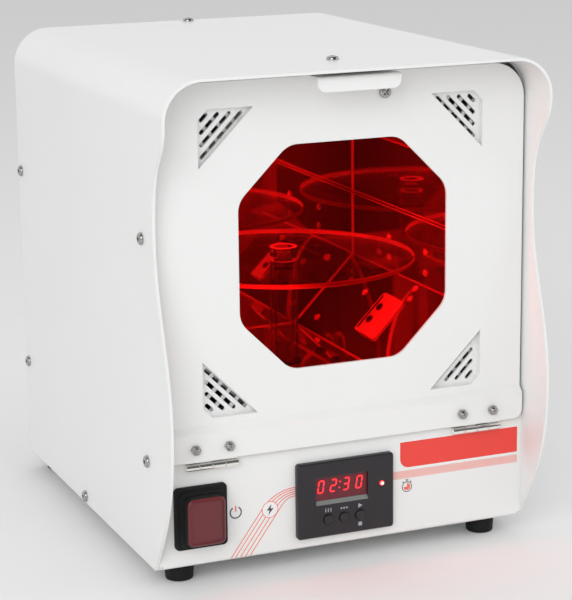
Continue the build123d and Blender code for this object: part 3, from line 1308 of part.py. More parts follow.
# ---- write the nodes -------------------------------------------------------------------
def main():
    """Build every piece and write its file."""
    os.makedirs("parts", exist_ok=True)
    save("outer_cover", outer_cover())
    save("chassis_tray", chassis_tray())
    save("front_bulkhead", front_bulkhead())
    save("rear_panel", rear_panel())
    save("feet", *feet())
    save("foot_screws", *foot_screws())
    save("cover_screws", *cover_screws())
    save("chamber_lower_liner", chamber_lower_liner())
    save("chamber_upper_liner", chamber_upper_liner())
    save("chamber_back", chamber_back())
    save("chamber_floor_screws", *chamber_floor_screws())
    save("lamp_boards", *lamp_boards())
    save("lamp_heat_sinks", *lamp_heat_sinks())
    save("lamp_lenses", *lamp_lenses())
    save("lamp_modules", *both_sides([lamp_module()]))
    save("lamp_module_screws", *both_sides(lamp_module_screws()))
    save("turntable_disc", turntable_disc())
    save("turntable_pillar", turntable_pillar())
    save("turntable_hub", turntable_hub())
    save("turntable_shaft", turntable_shaft())
    save("turntable_cup", turntable_cup())
    save("turntable_motor", turntable_motor())
    save("door_panel", door_panel())
    save("door_window", door_window())
    save("door_inner_plate", door_inner_plate())
    save("door_handle", door_handle())
    save("door_strike", *door_strike())
    save("strike_screw", strike_screw())
    save("magnet_catch", magnet_catch())
    save("door_sensor", door_sensor())
    save("hinge_door_leaves", *[hinge_leaf(s * HINGE_X, True) for s in (-1, 1)])
    save("hinge_case_leaves", *[hinge_leaf(s * HINGE_X, False) for s in (-1, 1)])
    save("hinge_pins", *hinge_pins())
    save("hinge_bolts", *door_hinge_bolts())
    save("acorn_nuts", *acorn_nuts())
    save("hinge_screws", *case_hinge_screws())
    save("hinge_nuts", *case_hinge_nuts())
    save("switch_bezel", switch_bezel())
    save("switch_cap", switch_cap())
    save("switch_body", switch_body())
    save("switch_terminals", *switch_terminals())
    save("switch_pin", switch_pin())
    save("switch_rocker", switch_rocker())
    save("timer_bezel", timer_bezel())
    save("timer_display", timer_display())
    save("timer_lamp", timer_lamp())
    save("timer_board", timer_board())
    save("timer_key_switches", *timer_key_switches())
    for name, x in KEY_XS.items():
        save(f"timer_key_{name}", timer_key(x))
    save("fan_housing", fan_housing())
    save("fan_rotor", fan_rotor())
    save("fan_guard", fan_guard())
    save("fan_screws", *fan_screws())
    save("mains_inlet", mains_inlet())
    save("inlet_pins", *inlet_pins(), *inlet_screws())
    save("fuse_drawer", fuse_drawer())
    save("power_supply", power_supply())
    save("driver_board", driver_board(), *board_standoffs(), *board_components())


main()
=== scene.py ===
"""Dental lab light curing unit: finishes, printed marks, lit parts, studio, lights and camera."""

import json
import logging
import math
from collections.abc import Callable
from dataclasses import dataclass, field
from enum import Enum

import bpy
from mathutils import Matrix, Vector

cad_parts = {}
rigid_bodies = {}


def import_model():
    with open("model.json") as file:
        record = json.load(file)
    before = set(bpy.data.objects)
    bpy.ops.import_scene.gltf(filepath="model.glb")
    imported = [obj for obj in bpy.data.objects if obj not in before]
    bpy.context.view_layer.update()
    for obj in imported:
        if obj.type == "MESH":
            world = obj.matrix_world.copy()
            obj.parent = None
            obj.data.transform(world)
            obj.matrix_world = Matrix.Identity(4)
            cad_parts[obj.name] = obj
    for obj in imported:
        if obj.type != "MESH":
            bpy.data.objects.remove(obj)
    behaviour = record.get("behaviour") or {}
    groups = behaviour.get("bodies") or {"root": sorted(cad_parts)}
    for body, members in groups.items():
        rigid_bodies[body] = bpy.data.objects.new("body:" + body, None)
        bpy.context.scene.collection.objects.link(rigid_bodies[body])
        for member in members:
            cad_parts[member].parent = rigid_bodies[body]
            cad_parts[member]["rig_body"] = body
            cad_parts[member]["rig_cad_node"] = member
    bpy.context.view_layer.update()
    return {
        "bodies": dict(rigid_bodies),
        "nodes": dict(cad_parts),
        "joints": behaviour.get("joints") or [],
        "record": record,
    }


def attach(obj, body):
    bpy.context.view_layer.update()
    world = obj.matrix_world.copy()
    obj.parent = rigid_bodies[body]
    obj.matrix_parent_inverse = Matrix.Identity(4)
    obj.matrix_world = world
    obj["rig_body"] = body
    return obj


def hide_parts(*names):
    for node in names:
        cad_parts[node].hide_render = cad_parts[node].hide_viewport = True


logging.basicConfig(level=logging.INFO, format="%(message)s")
LOG = logging.getLogger("curing_unit")

Colour = tuple[float, float, float]
Flat = tuple[float, float]

# The CAD's panel corner: millimetres from the middle of the control panel's foot.
PANEL_BACK = -119.0
PANEL_LIFT = 13.0


def spot(x: float, y: float, z: float) -> Vector:
    """Turn panel millimetres into the object's metres.

    Args:
        x: millimetres to the right of the panel's middle.
        y: millimetres behind the panel's front face.
        z: millimetres above the case's underside.

    Returns:
        The same point in metres in the object's frame.
    """
    return Vector((x, y + PANEL_BACK, z + PANEL_LIFT)) / 1000.0


class Ray(Enum):
    """Kinds of light ray that a material can tell apart."""

    CAMERA = "Is Camera Ray"
    SHADOW = "Is Shadow Ray"
    DIFFUSE = "Is Diffuse Ray"
    GLOSSY = "Is Glossy Ray"
    THROUGH = "Is Transmission Ray"


# ---------------------------------------------------------------------------
# Shader building
# ---------------------------------------------------------------------------


class Wiring:
    """A node tree under construction, with short calls for nodes, links and sums."""

    def __init__(self, tree: bpy.types.NodeTree) -> None:
        """Keep the tree that nodes are added to."""
        self.tree = tree

    def add(self, kind: str, inputs: dict | None = None, **settings: object) -> bpy.types.Node:
        """Add a node, set its options and set or link its inputs.

        Args:
            kind: the node's type name.
            inputs: socket name or number to a value or an output socket.
            settings: the node's own options.

        Returns:
            The new node.
        """
        node = self.tree.nodes.new(kind)
        for key, value in settings.items():
            setattr(node, key, value)
        for key, value in (inputs or {}).items():
            if isinstance(value, bpy.types.NodeSocket):
                self.tree.links.new(value, node.inputs[key])
            else:
                node.inputs[key].default_value = value
        return node

    def sum(self, operation: str, *terms: object) -> bpy.types.NodeSocket:
        """Return the output of a Math node on the given numbers or sockets."""
        return self.add("ShaderNodeMath", dict(enumerate(terms)), operation=operation).outputs[0]

    def blend(self, share: object, first: object, second: object) -> bpy.types.NodeSocket:
        """Return a colour mixed from first to second by share."""
        values = {0: share, 6: first, 7: second}
        return self.add("ShaderNodeMix", values, data_type="RGBA").outputs[2]

    def spread(self, value: object, low: float, high: float, bottom: float, top: float) -> bpy.types.NodeSocket:
        """Return value moved from the range low-high to bottom-top, clamped."""
        return self.add("ShaderNodeMapRange", {0: value, 1: low, 2: high, 3: bottom, 4: top}).outputs[0]

    def noise(self, vector: object, scale: object, detail: float = 2.0, rough: float = 0.5) -> bpy.types.NodeSocket:
        """Return the value of a noise texture of that scale."""
        values = {"Vector": vector, "Scale": scale, "Detail": detail, "Roughness": rough}
        return self.add("ShaderNodeTexNoise", values).outputs[0]


class GroupLibrary:
    """The shared surface effects, each a node group that is built once."""

    @staticmethod
    def _start(name: str, inputs: dict[str, tuple[str, object]], outputs: dict[str, str]) -> tuple:
        """Make an empty group with its sockets.

        Args:
            name: the group's name.
            inputs: socket name to its kind and default value.
            outputs: socket name to its kind.

        Returns:
            The group, its wiring, its input node and its output node.
        """
        group = bpy.data.node_groups.new(name, "ShaderNodeTree")
        for label, (kind, value) in inputs.items():
            socket = group.interface.new_socket(label, in_out="INPUT", socket_type="NodeSocket" + kind)
            if value is not None:
                socket.default_value = value
        for label, kind in outputs.items():
            group.interface.new_socket(label, in_out="OUTPUT", socket_type="NodeSocket" + kind)
        wiring = Wiring(group)
        return group, wiring, wiring.add("NodeGroupInput").outputs, wiring.add("NodeGroupOutput").inputs

    @classmethod
    def skin(cls) -> bpy.types.NodeTree:
        """Return the group that varies colour, roughness and height as a coated or moulded skin does."""
        name = "moulded_or_coated_skin"
        if name in bpy.data.node_groups:
            return bpy.data.node_groups[name]
        group, w, put, out = cls._start(
            name,
            {
                "Colour": ("Color", (0.5, 0.5, 0.5, 1.0)),
                "Grain scale": ("Float", 900.0),
                "Roughness": ("Float", 0.4),
                "Roughness spread": ("Float", 0.05),
                "Tint spread": ("Float", 0.03),
            },
            {"Colour": "Color", "Roughness": "Float", "Height": "Float"},
        )
        place = w.add("ShaderNodeTexCoord").outputs["Object"]
        grain = w.noise(place, put["Grain scale"], 3.0)
        clouds = w.noise(place, 14.0, 3.0, 0.6)
        lighter = w.add(
            "ShaderNodeHueSaturation",
            {"Color": put["Colour"], "Value": w.sum("ADD", 1.0, put["Tint spread"])},
        ).outputs[0]
        shade = w.add(
            "ShaderNodeHueSaturation",
            {"Color": put["Colour"], "Value": w.sum("SUBTRACT", 1.0, put["Tint spread"])},
        ).outputs[0]
        mixed = w.blend(w.spread(w.sum("ADD", clouds, w.sum("MULTIPLY", grain, 0.35)), 0.4, 0.95, 0.0, 1.0), shade, lighter)
        w.tree.links.new(mixed, out["Colour"])
        swing = w.sum("MULTIPLY", w.sum("SUBTRACT", w.sum("ADD", clouds, grain), 1.0), put["Roughness spread"])
        w.tree.links.new(w.sum("ADD", put["Roughness"], swing), out["Roughness"])
        w.tree.links.new(grain, out["Height"])
        return group

    @classmethod
    def scratches(cls) -> bpy.types.NodeTree:
        """Return the group that draws fine polishing lines and a few deeper marks."""
        name = "fine_scratches"
        if name in bpy.data.node_groups:
            return bpy.data.node_groups[name]
        group, w, put, out = cls._start(
            name,
            {"Lines per metre": ("Float", 2500.0), "Lie": ("Vector", (1.0, 0.02, 1.0))},
            {"Mask": "Float", "Height": "Float"},
        )
        place = w.add("ShaderNodeTexCoord").outputs["Object"]
        drawn = w.add("ShaderNodeVectorMath", {0: place, 1: put["Lie"]}, operation="MULTIPLY").outputs[0]
        lines = w.noise(drawn, put["Lines per metre"], 4.0, 0.65)
        marks = w.spread(w.noise(drawn, w.sum("MULTIPLY", put["Lines per metre"], 0.17), 2.0), 0.66, 0.72, 0.0, 1.0)
        w.tree.links.new(w.sum("MAXIMUM", w.spread(lines, 0.35, 0.75, 0.0, 0.7), marks), out["Mask"])
        w.tree.links.new(w.sum("SUBTRACT", lines, w.sum("MULTIPLY", marks, 0.6)), out["Height"])
        return group

    @classmethod
    def waves(cls) -> bpy.types.NodeTree:
        """Return the group that gives the slow unevenness of rolled and bent sheet."""
        name = "sheet_unevenness"
        if name in bpy.data.node_groups:
            return bpy.data.node_groups[name]
        group, w, put, out = cls._start(name, {"Waves per metre": ("Float", 12.0)}, {"Height": "Float"})
        place = w.add("ShaderNodeTexCoord").outputs["Object"]
        w.tree.links.new(w.noise(place, put["Waves per metre"], 1.0, 0.4), out["Height"])
        return group

    @classmethod
    def edges(cls) -> bpy.types.NodeTree:
        """Return the group that gives a rounded normal and a mask along a piece's edges."""
        name = "softened_edges"
        if name in bpy.data.node_groups:
            return bpy.data.node_groups[name]
        group, w, put, out = cls._start(
            name, {"Radius": ("Float", 0.0003)}, {"Normal": "Vector", "Mask": "Float"}
        )
        rounded = w.add("ShaderNodeBevel", {"Radius": put["Radius"]}, samples=4).outputs[0]
        true = w.add("ShaderNodeNewGeometry").outputs["Normal"]
        turn = w.add("ShaderNodeVectorMath", {0: rounded, 1: true}, operation="DOT_PRODUCT").outputs["Value"]
        w.tree.links.new(rounded, out["Normal"])
        w.tree.links.new(w.spread(turn, 0.97, 0.80, 0.0, 1.0), out["Mask"])
        return group


@dataclass(frozen=True)
class Finish:
    """A solid finish: painted, moulded, plated or printed.

    Sizes are in metres, scales in repeats to the metre.
    """

    name: str
    colour: Colour
    roughness: float = 0.4
    metallic: float = 0.0
    grain: float = 900.0
    relief: float = 0.00001
    roughness_spread: float = 0.05
    tint_spread: float = 0.03
    edge: float = 0.0003
    # Lighter colour blended in along rounded edges: a painted highlight, on the rubber also dust.
    edge_highlight_and_dust: Colour | None = None
    coat: float = 0.0
    specular: float = 0.5
    lines: float = 0.0
    lie: Colour = (1.0, 0.02, 1.0)
    line_relief: float = 0.0
    uneven: float = 0.0
    waves: float = 12.0
    anisotropy: float = 0.0
    sheen: float = 0.0

    def _group(self, w: Wiring, tree: bpy.types.NodeTree, inputs: dict) -> bpy.types.NodeOutputs:
        """Place a shared effect in a material with its own values and return its outputs."""
        node = w.add("ShaderNodeGroup", node_tree=tree)
        for key, value in inputs.items():
            node.inputs[key].default_value = value
        return node.outputs

    def _surface(self, w: Wiring) -> bpy.types.Node:
        """Build the Principled shader with everything that feeds it.

        Args:
            w: the material's wiring.

        Returns:
            The Principled node, not yet linked to the output.
        """
        skin = self._group(
            w,
            GroupLibrary.skin(),
            {
                "Colour": (*self.colour, 1.0),
                "Grain scale": self.grain,
                "Roughness": self.roughness,
                "Roughness spread": self.roughness_spread,
                "Tint spread": self.tint_spread,
            },
        )
        edges = self._group(w, GroupLibrary.edges(), {"Radius": self.edge})
        colour = skin["Colour"]
        rough = skin["Roughness"]
        # Rounded edges are blended towards a lighter colour: a painted highlight, on the rubber also dust.
        if self.edge_highlight_and_dust is not None:
            share = w.sum("MULTIPLY", edges["Mask"], 0.6)
            colour = w.blend(share, colour, (*self.edge_highlight_and_dust, 1.0))
        normal = edges["Normal"]
        if self.uneven:
            slow = self._group(w, GroupLibrary.waves(), {"Waves per metre": self.waves})
            normal = w.add(
                "ShaderNodeBump",
                {"Strength": 1.0, "Distance": self.uneven, "Height": slow["Height"], "Normal": normal},
            ).outputs[0]
        if self.lines:
            drawn = self._group(w, GroupLibrary.scratches(), {"Lines per metre": self.lines, "Lie": self.lie})
            rough = w.sum("ADD", rough, w.sum("MULTIPLY", drawn["Mask"], self.roughness_spread))
            normal = w.add(
                "ShaderNodeBump",
                {"Strength": 1.0, "Distance": self.line_relief, "Height": drawn["Height"], "Normal": normal},
            ).outputs[0]
        normal = w.add(
            "ShaderNodeBump",
            {"Strength": 1.0, "Distance": self.relief, "Height": skin["Height"], "Normal": normal},
        ).outputs[0]
        shader = w.add(
            "ShaderNodeBsdfPrincipled",
            {
                "Base Color": colour,
                "Roughness": rough,
                "Metallic": self.metallic,
                "Normal": normal,
                "Coat Weight": self.coat,
                "Coat Roughness": 0.12,
                "Specular IOR Level": self.specular,
                "Anisotropic": self.anisotropy,
                "Sheen Weight": self.sheen,
            },
        )
        return shader

    def material(self) -> bpy.types.Material:
        """Return the finish's material, built on first use."""
        if self.name in bpy.data.materials:
            return bpy.data.materials[self.name]
        made = bpy.data.materials.new(self.name)
        made.use_nodes = True
        made.node_tree.nodes.clear()
        made.diffuse_color = (*self.colour, 1.0)
        w = Wiring(made.node_tree)
        self._close(w, self._surface(w))
        return made

    def _close(self, w: Wiring, shader: bpy.types.Node) -> None:
        """Link the finished shader to the material's output."""
        w.add("ShaderNodeOutputMaterial", {"Surface": shader.outputs[0]})


@dataclass(frozen=True)
class LitFinish(Finish):
    """A surface that also gives light, such as a display digit or a lamp."""

    glow: Colour = (1.0, 0.02, 0.02)
    strength: float = 1.0
    centre: Colour | None = None
    core: float = 0.001
    rim: float = 0.004
    rim_glow: Colour = (0.3, 0.0, 0.0)

    def _surface(self, w: Wiring) -> bpy.types.Node:
        """Build the Principled shader and give it an emission that fades from a centre.

        Args:
            w: the material's wiring.

        Returns:
            The Principled node.
        """
        shader = super()._surface(w)
        glow = (*self.glow, 1.0)
        if self.centre is not None:
            place = w.add("ShaderNodeTexCoord").outputs["Object"]
            away = w.add("ShaderNodeVectorMath", {0: place, 1: self.centre}, operation="DISTANCE")
            share = w.spread(away.outputs["Value"], self.core, self.rim, 0.0, 1.0)
            glow = w.blend(share, glow, (*self.rim_glow, 1.0))
        if isinstance(glow, bpy.types.NodeSocket):
            w.tree.links.new(glow, shader.inputs["Emission Color"])
        else:
            shader.inputs["Emission Color"].default_value = glow
        shader.inputs["Emission Strength"].default_value = self.strength
        return shader


@dataclass(frozen=True)
class ClearFinish(Finish):
    """Clear or tinted plastic that light passes."""

    ior: float = 1.49
    clear: float = 1.0
    passed: Colour = (1.0, 1.0, 1.0)
    spill: Colour | None = None
    mirrored_shade: Colour | None = None
    straight: float = 0.0
    haze: float = 0.06

    def _surface(self, w: Wiring) -> bpy.types.Node:
        """Build the Principled shader as a clear solid with its own slight surface marks.

        Args:
            w: the material's wiring.

        Returns:
            The Principled node.
        """
        shader = super()._surface(w)
        shader.inputs["Transmission Weight"].default_value = self.clear
        shader.inputs["IOR"].default_value = self.ior
        return shader

    def _close(self, w: Wiring, shader: bpy.types.Node) -> None:
        """Let lamps and soft light through the tint, so that what lies behind it is lit.

        Args:
            w: the material's wiring.
            shader: the Principled node.
        """
        path = w.add("ShaderNodeLightPath").outputs
        seen = shader.outputs[0]
        if self.straight:
            facing = w.add("ShaderNodeLayerWeight", {"Blend": 0.5}).outputs["Facing"]
            bent = w.spread(facing, self.straight, 1.0, self.haze, 1.0)
            direct = w.add("ShaderNodeBsdfTransparent", {"Color": (*self.passed, 1.0)})
            seen = w.add("ShaderNodeMixShader", {0: bent, 1: direct.outputs[0], 2: seen}).outputs[0]
        # Rays that come off a mirror behind the pane leave through a deep dark tint: painted shade that darkens the
        # chamber's reflections.
        if self.mirrored_shade is not None:
            dim = w.add("ShaderNodeBsdfTransparent", {"Color": (*self.mirrored_shade, 1.0)})
            mirrored = w.sum("GREATER_THAN", path["Glossy Depth"], 0.5)
            seen = w.add("ShaderNodeMixShader", {0: mirrored, 1: seen, 2: dim.outputs[0]}).outputs[0]
        for ray, tint in ((Ray.DIFFUSE, self.spill or self.passed), (Ray.SHADOW, self.passed)):
            open_way = w.add("ShaderNodeBsdfTransparent", {"Color": (*tint, 1.0)})
            seen = w.add("ShaderNodeMixShader", {0: path[ray.value], 1: seen, 2: open_way.outputs[0]}).outputs[0]
        w.add("ShaderNodeOutputMaterial", {"Surface": seen})


@dataclass(frozen=True)
class BoardFinish(Finish):
    """Solder mask over copper tracks, with bare pads."""

    track_colour: Colour = (0.03, 0.13, 0.06)
    pad_colour: Colour = (0.62, 0.55, 0.38)

    def _surface(self, w: Wiring) -> bpy.types.Node:
        """Build the board's shader with tracks and pads in its colour and height.

        Args:
            w: the material's wiring.

        Returns:
            The Principled node.
        """
        shader = super()._surface(w)
        place = w.add("ShaderNodeTexCoord").outputs["Object"]
        cells = w.add(
            "ShaderNodeTexVoronoi", {"Vector": place, "Scale": 260.0}, feature="DISTANCE_TO_EDGE", distance="EUCLIDEAN"
        ).outputs["Distance"]
        tracks = w.spread(cells, 0.05, 0.07, 1.0, 0.0)
        dots = w.add("ShaderNodeTexVoronoi", {"Vector": place, "Scale": 330.0}).outputs["Distance"]
        pads = w.spread(dots, 0.16, 0.19, 1.0, 0.0)
        skin_colour = shader.inputs["Base Color"].links[0].from_socket
        tracked = w.blend(tracks, skin_colour, (*self.track_colour, 1.0))
        w.tree.links.new(w.blend(pads, tracked, (*self.pad_colour, 1.0)), shader.inputs["Base Color"])
        w.tree.links.new(w.sum("MULTIPLY", pads, 0.9), shader.inputs["Metallic"])
        return shader


WHITE_COAT = Finish(
    "white_powder_coat", (0.80, 0.81, 0.80), roughness=0.36, grain=620.0, relief=0.000012, roughness_spread=0.07,
    tint_spread=0.012, edge=0.0006, edge_highlight_and_dust=(0.88, 0.88, 0.87), coat=0.12, uneven=0.0003, waves=9.0,
)
MIRROR_STEEL = Finish(
    "mirror_polished_steel", (0.93, 0.93, 0.93), roughness=0.03, metallic=0.96, grain=180.0, relief=0.000002,
    roughness_spread=0.04, tint_spread=0.02, edge=0.0004, lines=1800.0, line_relief=0.0000004, uneven=0.00008, waves=14.0,
)
SATIN_STEEL = Finish(
    "satin_steel_sheet", (0.78, 0.78, 0.77), roughness=0.40, metallic=0.45, grain=900.0, relief=0.000006,
    roughness_spread=0.10, tint_spread=0.05, edge=0.0003, lines=2200.0, line_relief=0.000001,
)
FOLD_STEEL = Finish(
    "sheet_edge_steel", (0.85, 0.85, 0.84), roughness=0.42, metallic=0.35, grain=1400.0, relief=0.00001,
    roughness_spread=0.12, tint_spread=0.08, edge=0.0002,
)
BARE_STEEL = Finish(
    "brushed_steel", (0.60, 0.61, 0.62), roughness=0.30, metallic=1.0, grain=500.0, relief=0.000004,
    roughness_spread=0.14, tint_spread=0.05, edge=0.0004, lines=2600.0, line_relief=0.000003, anisotropy=0.4,
)
ZINC_STEEL = Finish(
    "zinc_plated_steel", (0.42, 0.415, 0.405), roughness=0.12, metallic=1.0, grain=1500.0, relief=0.000001,
    roughness_spread=0.10, tint_spread=0.06, edge=0.00025, lines=3800.0, lie=(1.0, 1.0, 0.05), line_relief=0.000001,
)
HINGE_STEEL = Finish(
    "polished_hinge_steel", (0.93, 0.93, 0.89), roughness=0.17, metallic=1.0, grain=1100.0, relief=0.000005,
    roughness_spread=0.12, tint_spread=0.06, edge=0.0002, lines=3000.0, lie=(0.03, 1.0, 1.0), line_relief=0.000002,
)
RUBBER = Finish(
    "moulded_black_rubber", (0.012, 0.0125, 0.0135), roughness=0.62, grain=2600.0, relief=0.00002, roughness_spread=0.16,
    tint_spread=0.25, edge=0.0007, edge_highlight_and_dust=(0.040, 0.042, 0.045), specular=0.2,
)
BLACK_PLASTIC = Finish(
    "black_moulded_plastic", (0.017, 0.014, 0.018), roughness=0.42, grain=3200.0, relief=0.000012,
    roughness_spread=0.12, tint_spread=0.10, edge=0.0005, edge_highlight_and_dust=(0.10, 0.10, 0.105),
)
KEY_PLASTIC = Finish(
    "black_key_plastic", (0.016, 0.016, 0.018), roughness=0.34, grain=2400.0, relief=0.00001, roughness_spread=0.1,
    tint_spread=0.10, edge=0.0004, edge_highlight_and_dust=(0.07, 0.07, 0.075),
)
RED_CAP = ClearFinish(
    "soft_splash_cap", (0.92, 0.80, 0.82), roughness=0.06, grain=500.0, relief=0.000004, roughness_spread=0.05,
    tint_spread=0.03, edge=0.0006, specular=0.25, ior=1.35, passed=(0.90, 0.80, 0.82),
)
CAP_FRAME = Finish(
    "dark_red_switch_frame", (0.135, 0.014, 0.019), roughness=0.36, grain=1500.0, relief=0.00001, roughness_spread=0.1,
    tint_spread=0.12, edge=0.0003, edge_highlight_and_dust=(0.30, 0.010, 0.020),
)
RED_PANE = ClearFinish(
    "red_tinted_acrylic", (0.93, 0.0035, 0.0030), roughness=0.004, grain=90.0, relief=0.0000005,
    roughness_spread=0.004, tint_spread=0.01, edge=0.0003, ior=1.05, passed=(0.72, 0.03, 0.03),
    spill=(0.30, 0.006, 0.006), mirrored_shade=(0.09, 0.0, 0.0),
)
CLEAR_ACRYLIC = ClearFinish(
    "polished_clear_acrylic", (0.97, 0.98, 0.98), roughness=0.0, grain=120.0, relief=0.0000005, roughness_spread=0.0,
    tint_spread=0.005, edge=0.0003, ior=1.49, passed=(0.96, 0.97, 0.97), straight=0.75, haze=0.05,
)
TUBE_ACRYLIC = ClearFinish(
    "clear_acrylic_tube", (0.97, 0.98, 0.98), roughness=0.0, grain=120.0, relief=0.0000005, roughness_spread=0.0,
    tint_spread=0.005, edge=0.0003, ior=1.18, passed=(0.96, 0.97, 0.97), straight=0.25, haze=0.06,
)
SAWN_ACRYLIC = ClearFinish(
    "sawn_acrylic_edge", (0.97, 0.98, 0.98), roughness=0.34, grain=1500.0, relief=0.00001, roughness_spread=0.15,
    tint_spread=0.02, edge=0.0004, ior=1.49, clear=0.35, passed=(0.92, 0.93, 0.93),
)
LENS_CLEAR = ClearFinish(
    "clear_lens_silicone", (0.97, 0.97, 0.93), roughness=0.03, grain=900.0, relief=0.000003, roughness_spread=0.02,
    tint_spread=0.01, edge=0.0002, ior=1.41, clear=0.3, passed=(0.95, 0.95, 0.92),
)
MODULE_PLASTIC = Finish(
    "pale_lamp_module", (0.72, 0.72, 0.73), roughness=0.30, grain=1600.0, relief=0.00001, roughness_spread=0.1,
    tint_spread=0.05, edge=0.0005,
)
BOARD = BoardFinish(
    "green_circuit_board", (0.018, 0.085, 0.038), roughness=0.32, grain=900.0, relief=0.000012, roughness_spread=0.1,
    tint_spread=0.1, edge=0.0002,
)
HEAT_SINK = Finish(
    "extruded_aluminium", (0.72, 0.73, 0.75), roughness=0.34, metallic=1.0, grain=700.0, relief=0.000006,
    roughness_spread=0.12, tint_spread=0.05, edge=0.0003, lines=1600.0, lie=(1.0, 0.02, 1.0), line_relief=0.000004,
)
BRASS = Finish(
    "tinned_brass", (0.74, 0.62, 0.36), roughness=0.26, metallic=1.0, grain=1500.0, relief=0.000005,
    roughness_spread=0.14, tint_spread=0.12, edge=0.0002,
)
# The tinted face has a dim red emission of its own: a painted glow, since the face is no lamp.
DISPLAY_FACE = LitFinish(
    "tinted_display_face", (0.060, 0.008, 0.012), roughness=0.22, grain=1200.0, relief=0.000004, roughness_spread=0.06,
    tint_spread=0.06, edge=0.0002, coat=0.15, specular=0.3, glow=(0.085, 0.010, 0.016), strength=0.8,
)
LIT_SEGMENT = LitFinish(
    "lit_display_segment", (0.9, 0.03, 0.04), roughness=0.3, edge=0.0001, glow=(1.0, 0.012, 0.020), strength=1.25,
)
DARK_SEGMENT = Finish("unlit_display_segment", (0.10, 0.014, 0.018), roughness=0.3, edge=0.0001)
LAMP_GLOW = LitFinish(
    "lit_red_lamp", (0.9, 0.05, 0.05), roughness=0.2, edge=0.0002, glow=(1.0, 0.55, 0.50), strength=2.2,
    centre=tuple(spot(22.5, -5.4, 36.6)), core=0.0005, rim=0.0016, rim_glow=(0.9, 0.008, 0.006),
)
ROCKER_GLOW = LitFinish(
    "lit_red_rocker", (0.26, 0.003, 0.010), roughness=0.30, grain=900.0, tint_spread=0.10, edge=0.0005, specular=0.3,
    glow=(0.66, 0.0, 0.018), strength=1.0,
    centre=tuple(spot(-97.6, -8.0, 33.5)), core=0.002, rim=0.0135, rim_glow=(0.16, 0.002, 0.012),
)
RED_INK = Finish(
    "red_print", (0.82, 0.055, 0.040), roughness=0.42, grain=1500.0, relief=0.000004, roughness_spread=0.08,
    tint_spread=0.04, edge=0.00005,
)
FINE_RED_INK = Finish(
    "fine_red_print", (0.86, 0.16, 0.11), roughness=0.42, grain=1500.0, relief=0.000004, roughness_spread=0.08,
    tint_spread=0.05, edge=0.00005,
)
GREY_INK = Finish(
    "dark_grey_print", (0.045, 0.045, 0.050), roughness=0.45, grain=1500.0, relief=0.000004, tint_spread=0.08,
    edge=0.00005,
)
# The signs get a faint white emission: painted light that keeps them bright in the cap's shade, in part also the
# switch's own lamp.
SIGN_WHITE = LitFinish(
    "white_sign_lamp_and_painted_glow", (0.80, 0.78, 0.80), roughness=0.35, edge=0.0001, glow=(0.95, 0.80, 0.95), strength=0.28,
)
WHITE_INK = Finish(
    "white_print", (0.83, 0.83, 0.83), roughness=0.42, grain=1500.0, relief=0.000004, tint_spread=0.02, edge=0.00005,
)
MARK_INK = Finish(
    "pale_grey_print", (0.36, 0.38, 0.42), roughness=0.45, grain=1500.0, relief=0.000004, tint_spread=0.05,
    edge=0.00005,
)
LEDGE_PLASTIC = Finish(
    "pale_window_ledge", (0.20, 0.215, 0.205), roughness=0.30, grain=700.0, relief=0.00001, roughness_spread=0.1,
    tint_spread=0.10, edge=0.0003, coat=0.3,
)

SLOT_FINISH: dict[str, Finish] = {
    "white_paint": WHITE_COAT,
    "bare_steel": BARE_STEEL,
    "mirror": MIRROR_STEEL,
    "screw_steel": ZINC_STEEL,
    "hinge_steel": HINGE_STEEL,
    "black_rubber": RUBBER,
    "black_plastic": BLACK_PLASTIC,
    "key": KEY_PLASTIC,
    "red_cap": RED_CAP,
    "red_rocker": ROCKER_GLOW,
    "display": DISPLAY_FACE,
    "red_lamp": LAMP_GLOW,
    "red_pane": RED_PANE,
    "clear_acrylic": CLEAR_ACRYLIC,
    "lens": LENS_CLEAR,
    "module": MODULE_PLASTIC,
    "board": BOARD,
    "heat_sink": HEAT_SINK,
    "brass": BRASS,
}


# ---------------------------------------------------------------------------
# Workbench: the modelling calls that every class uses
# ---------------------------------------------------------------------------


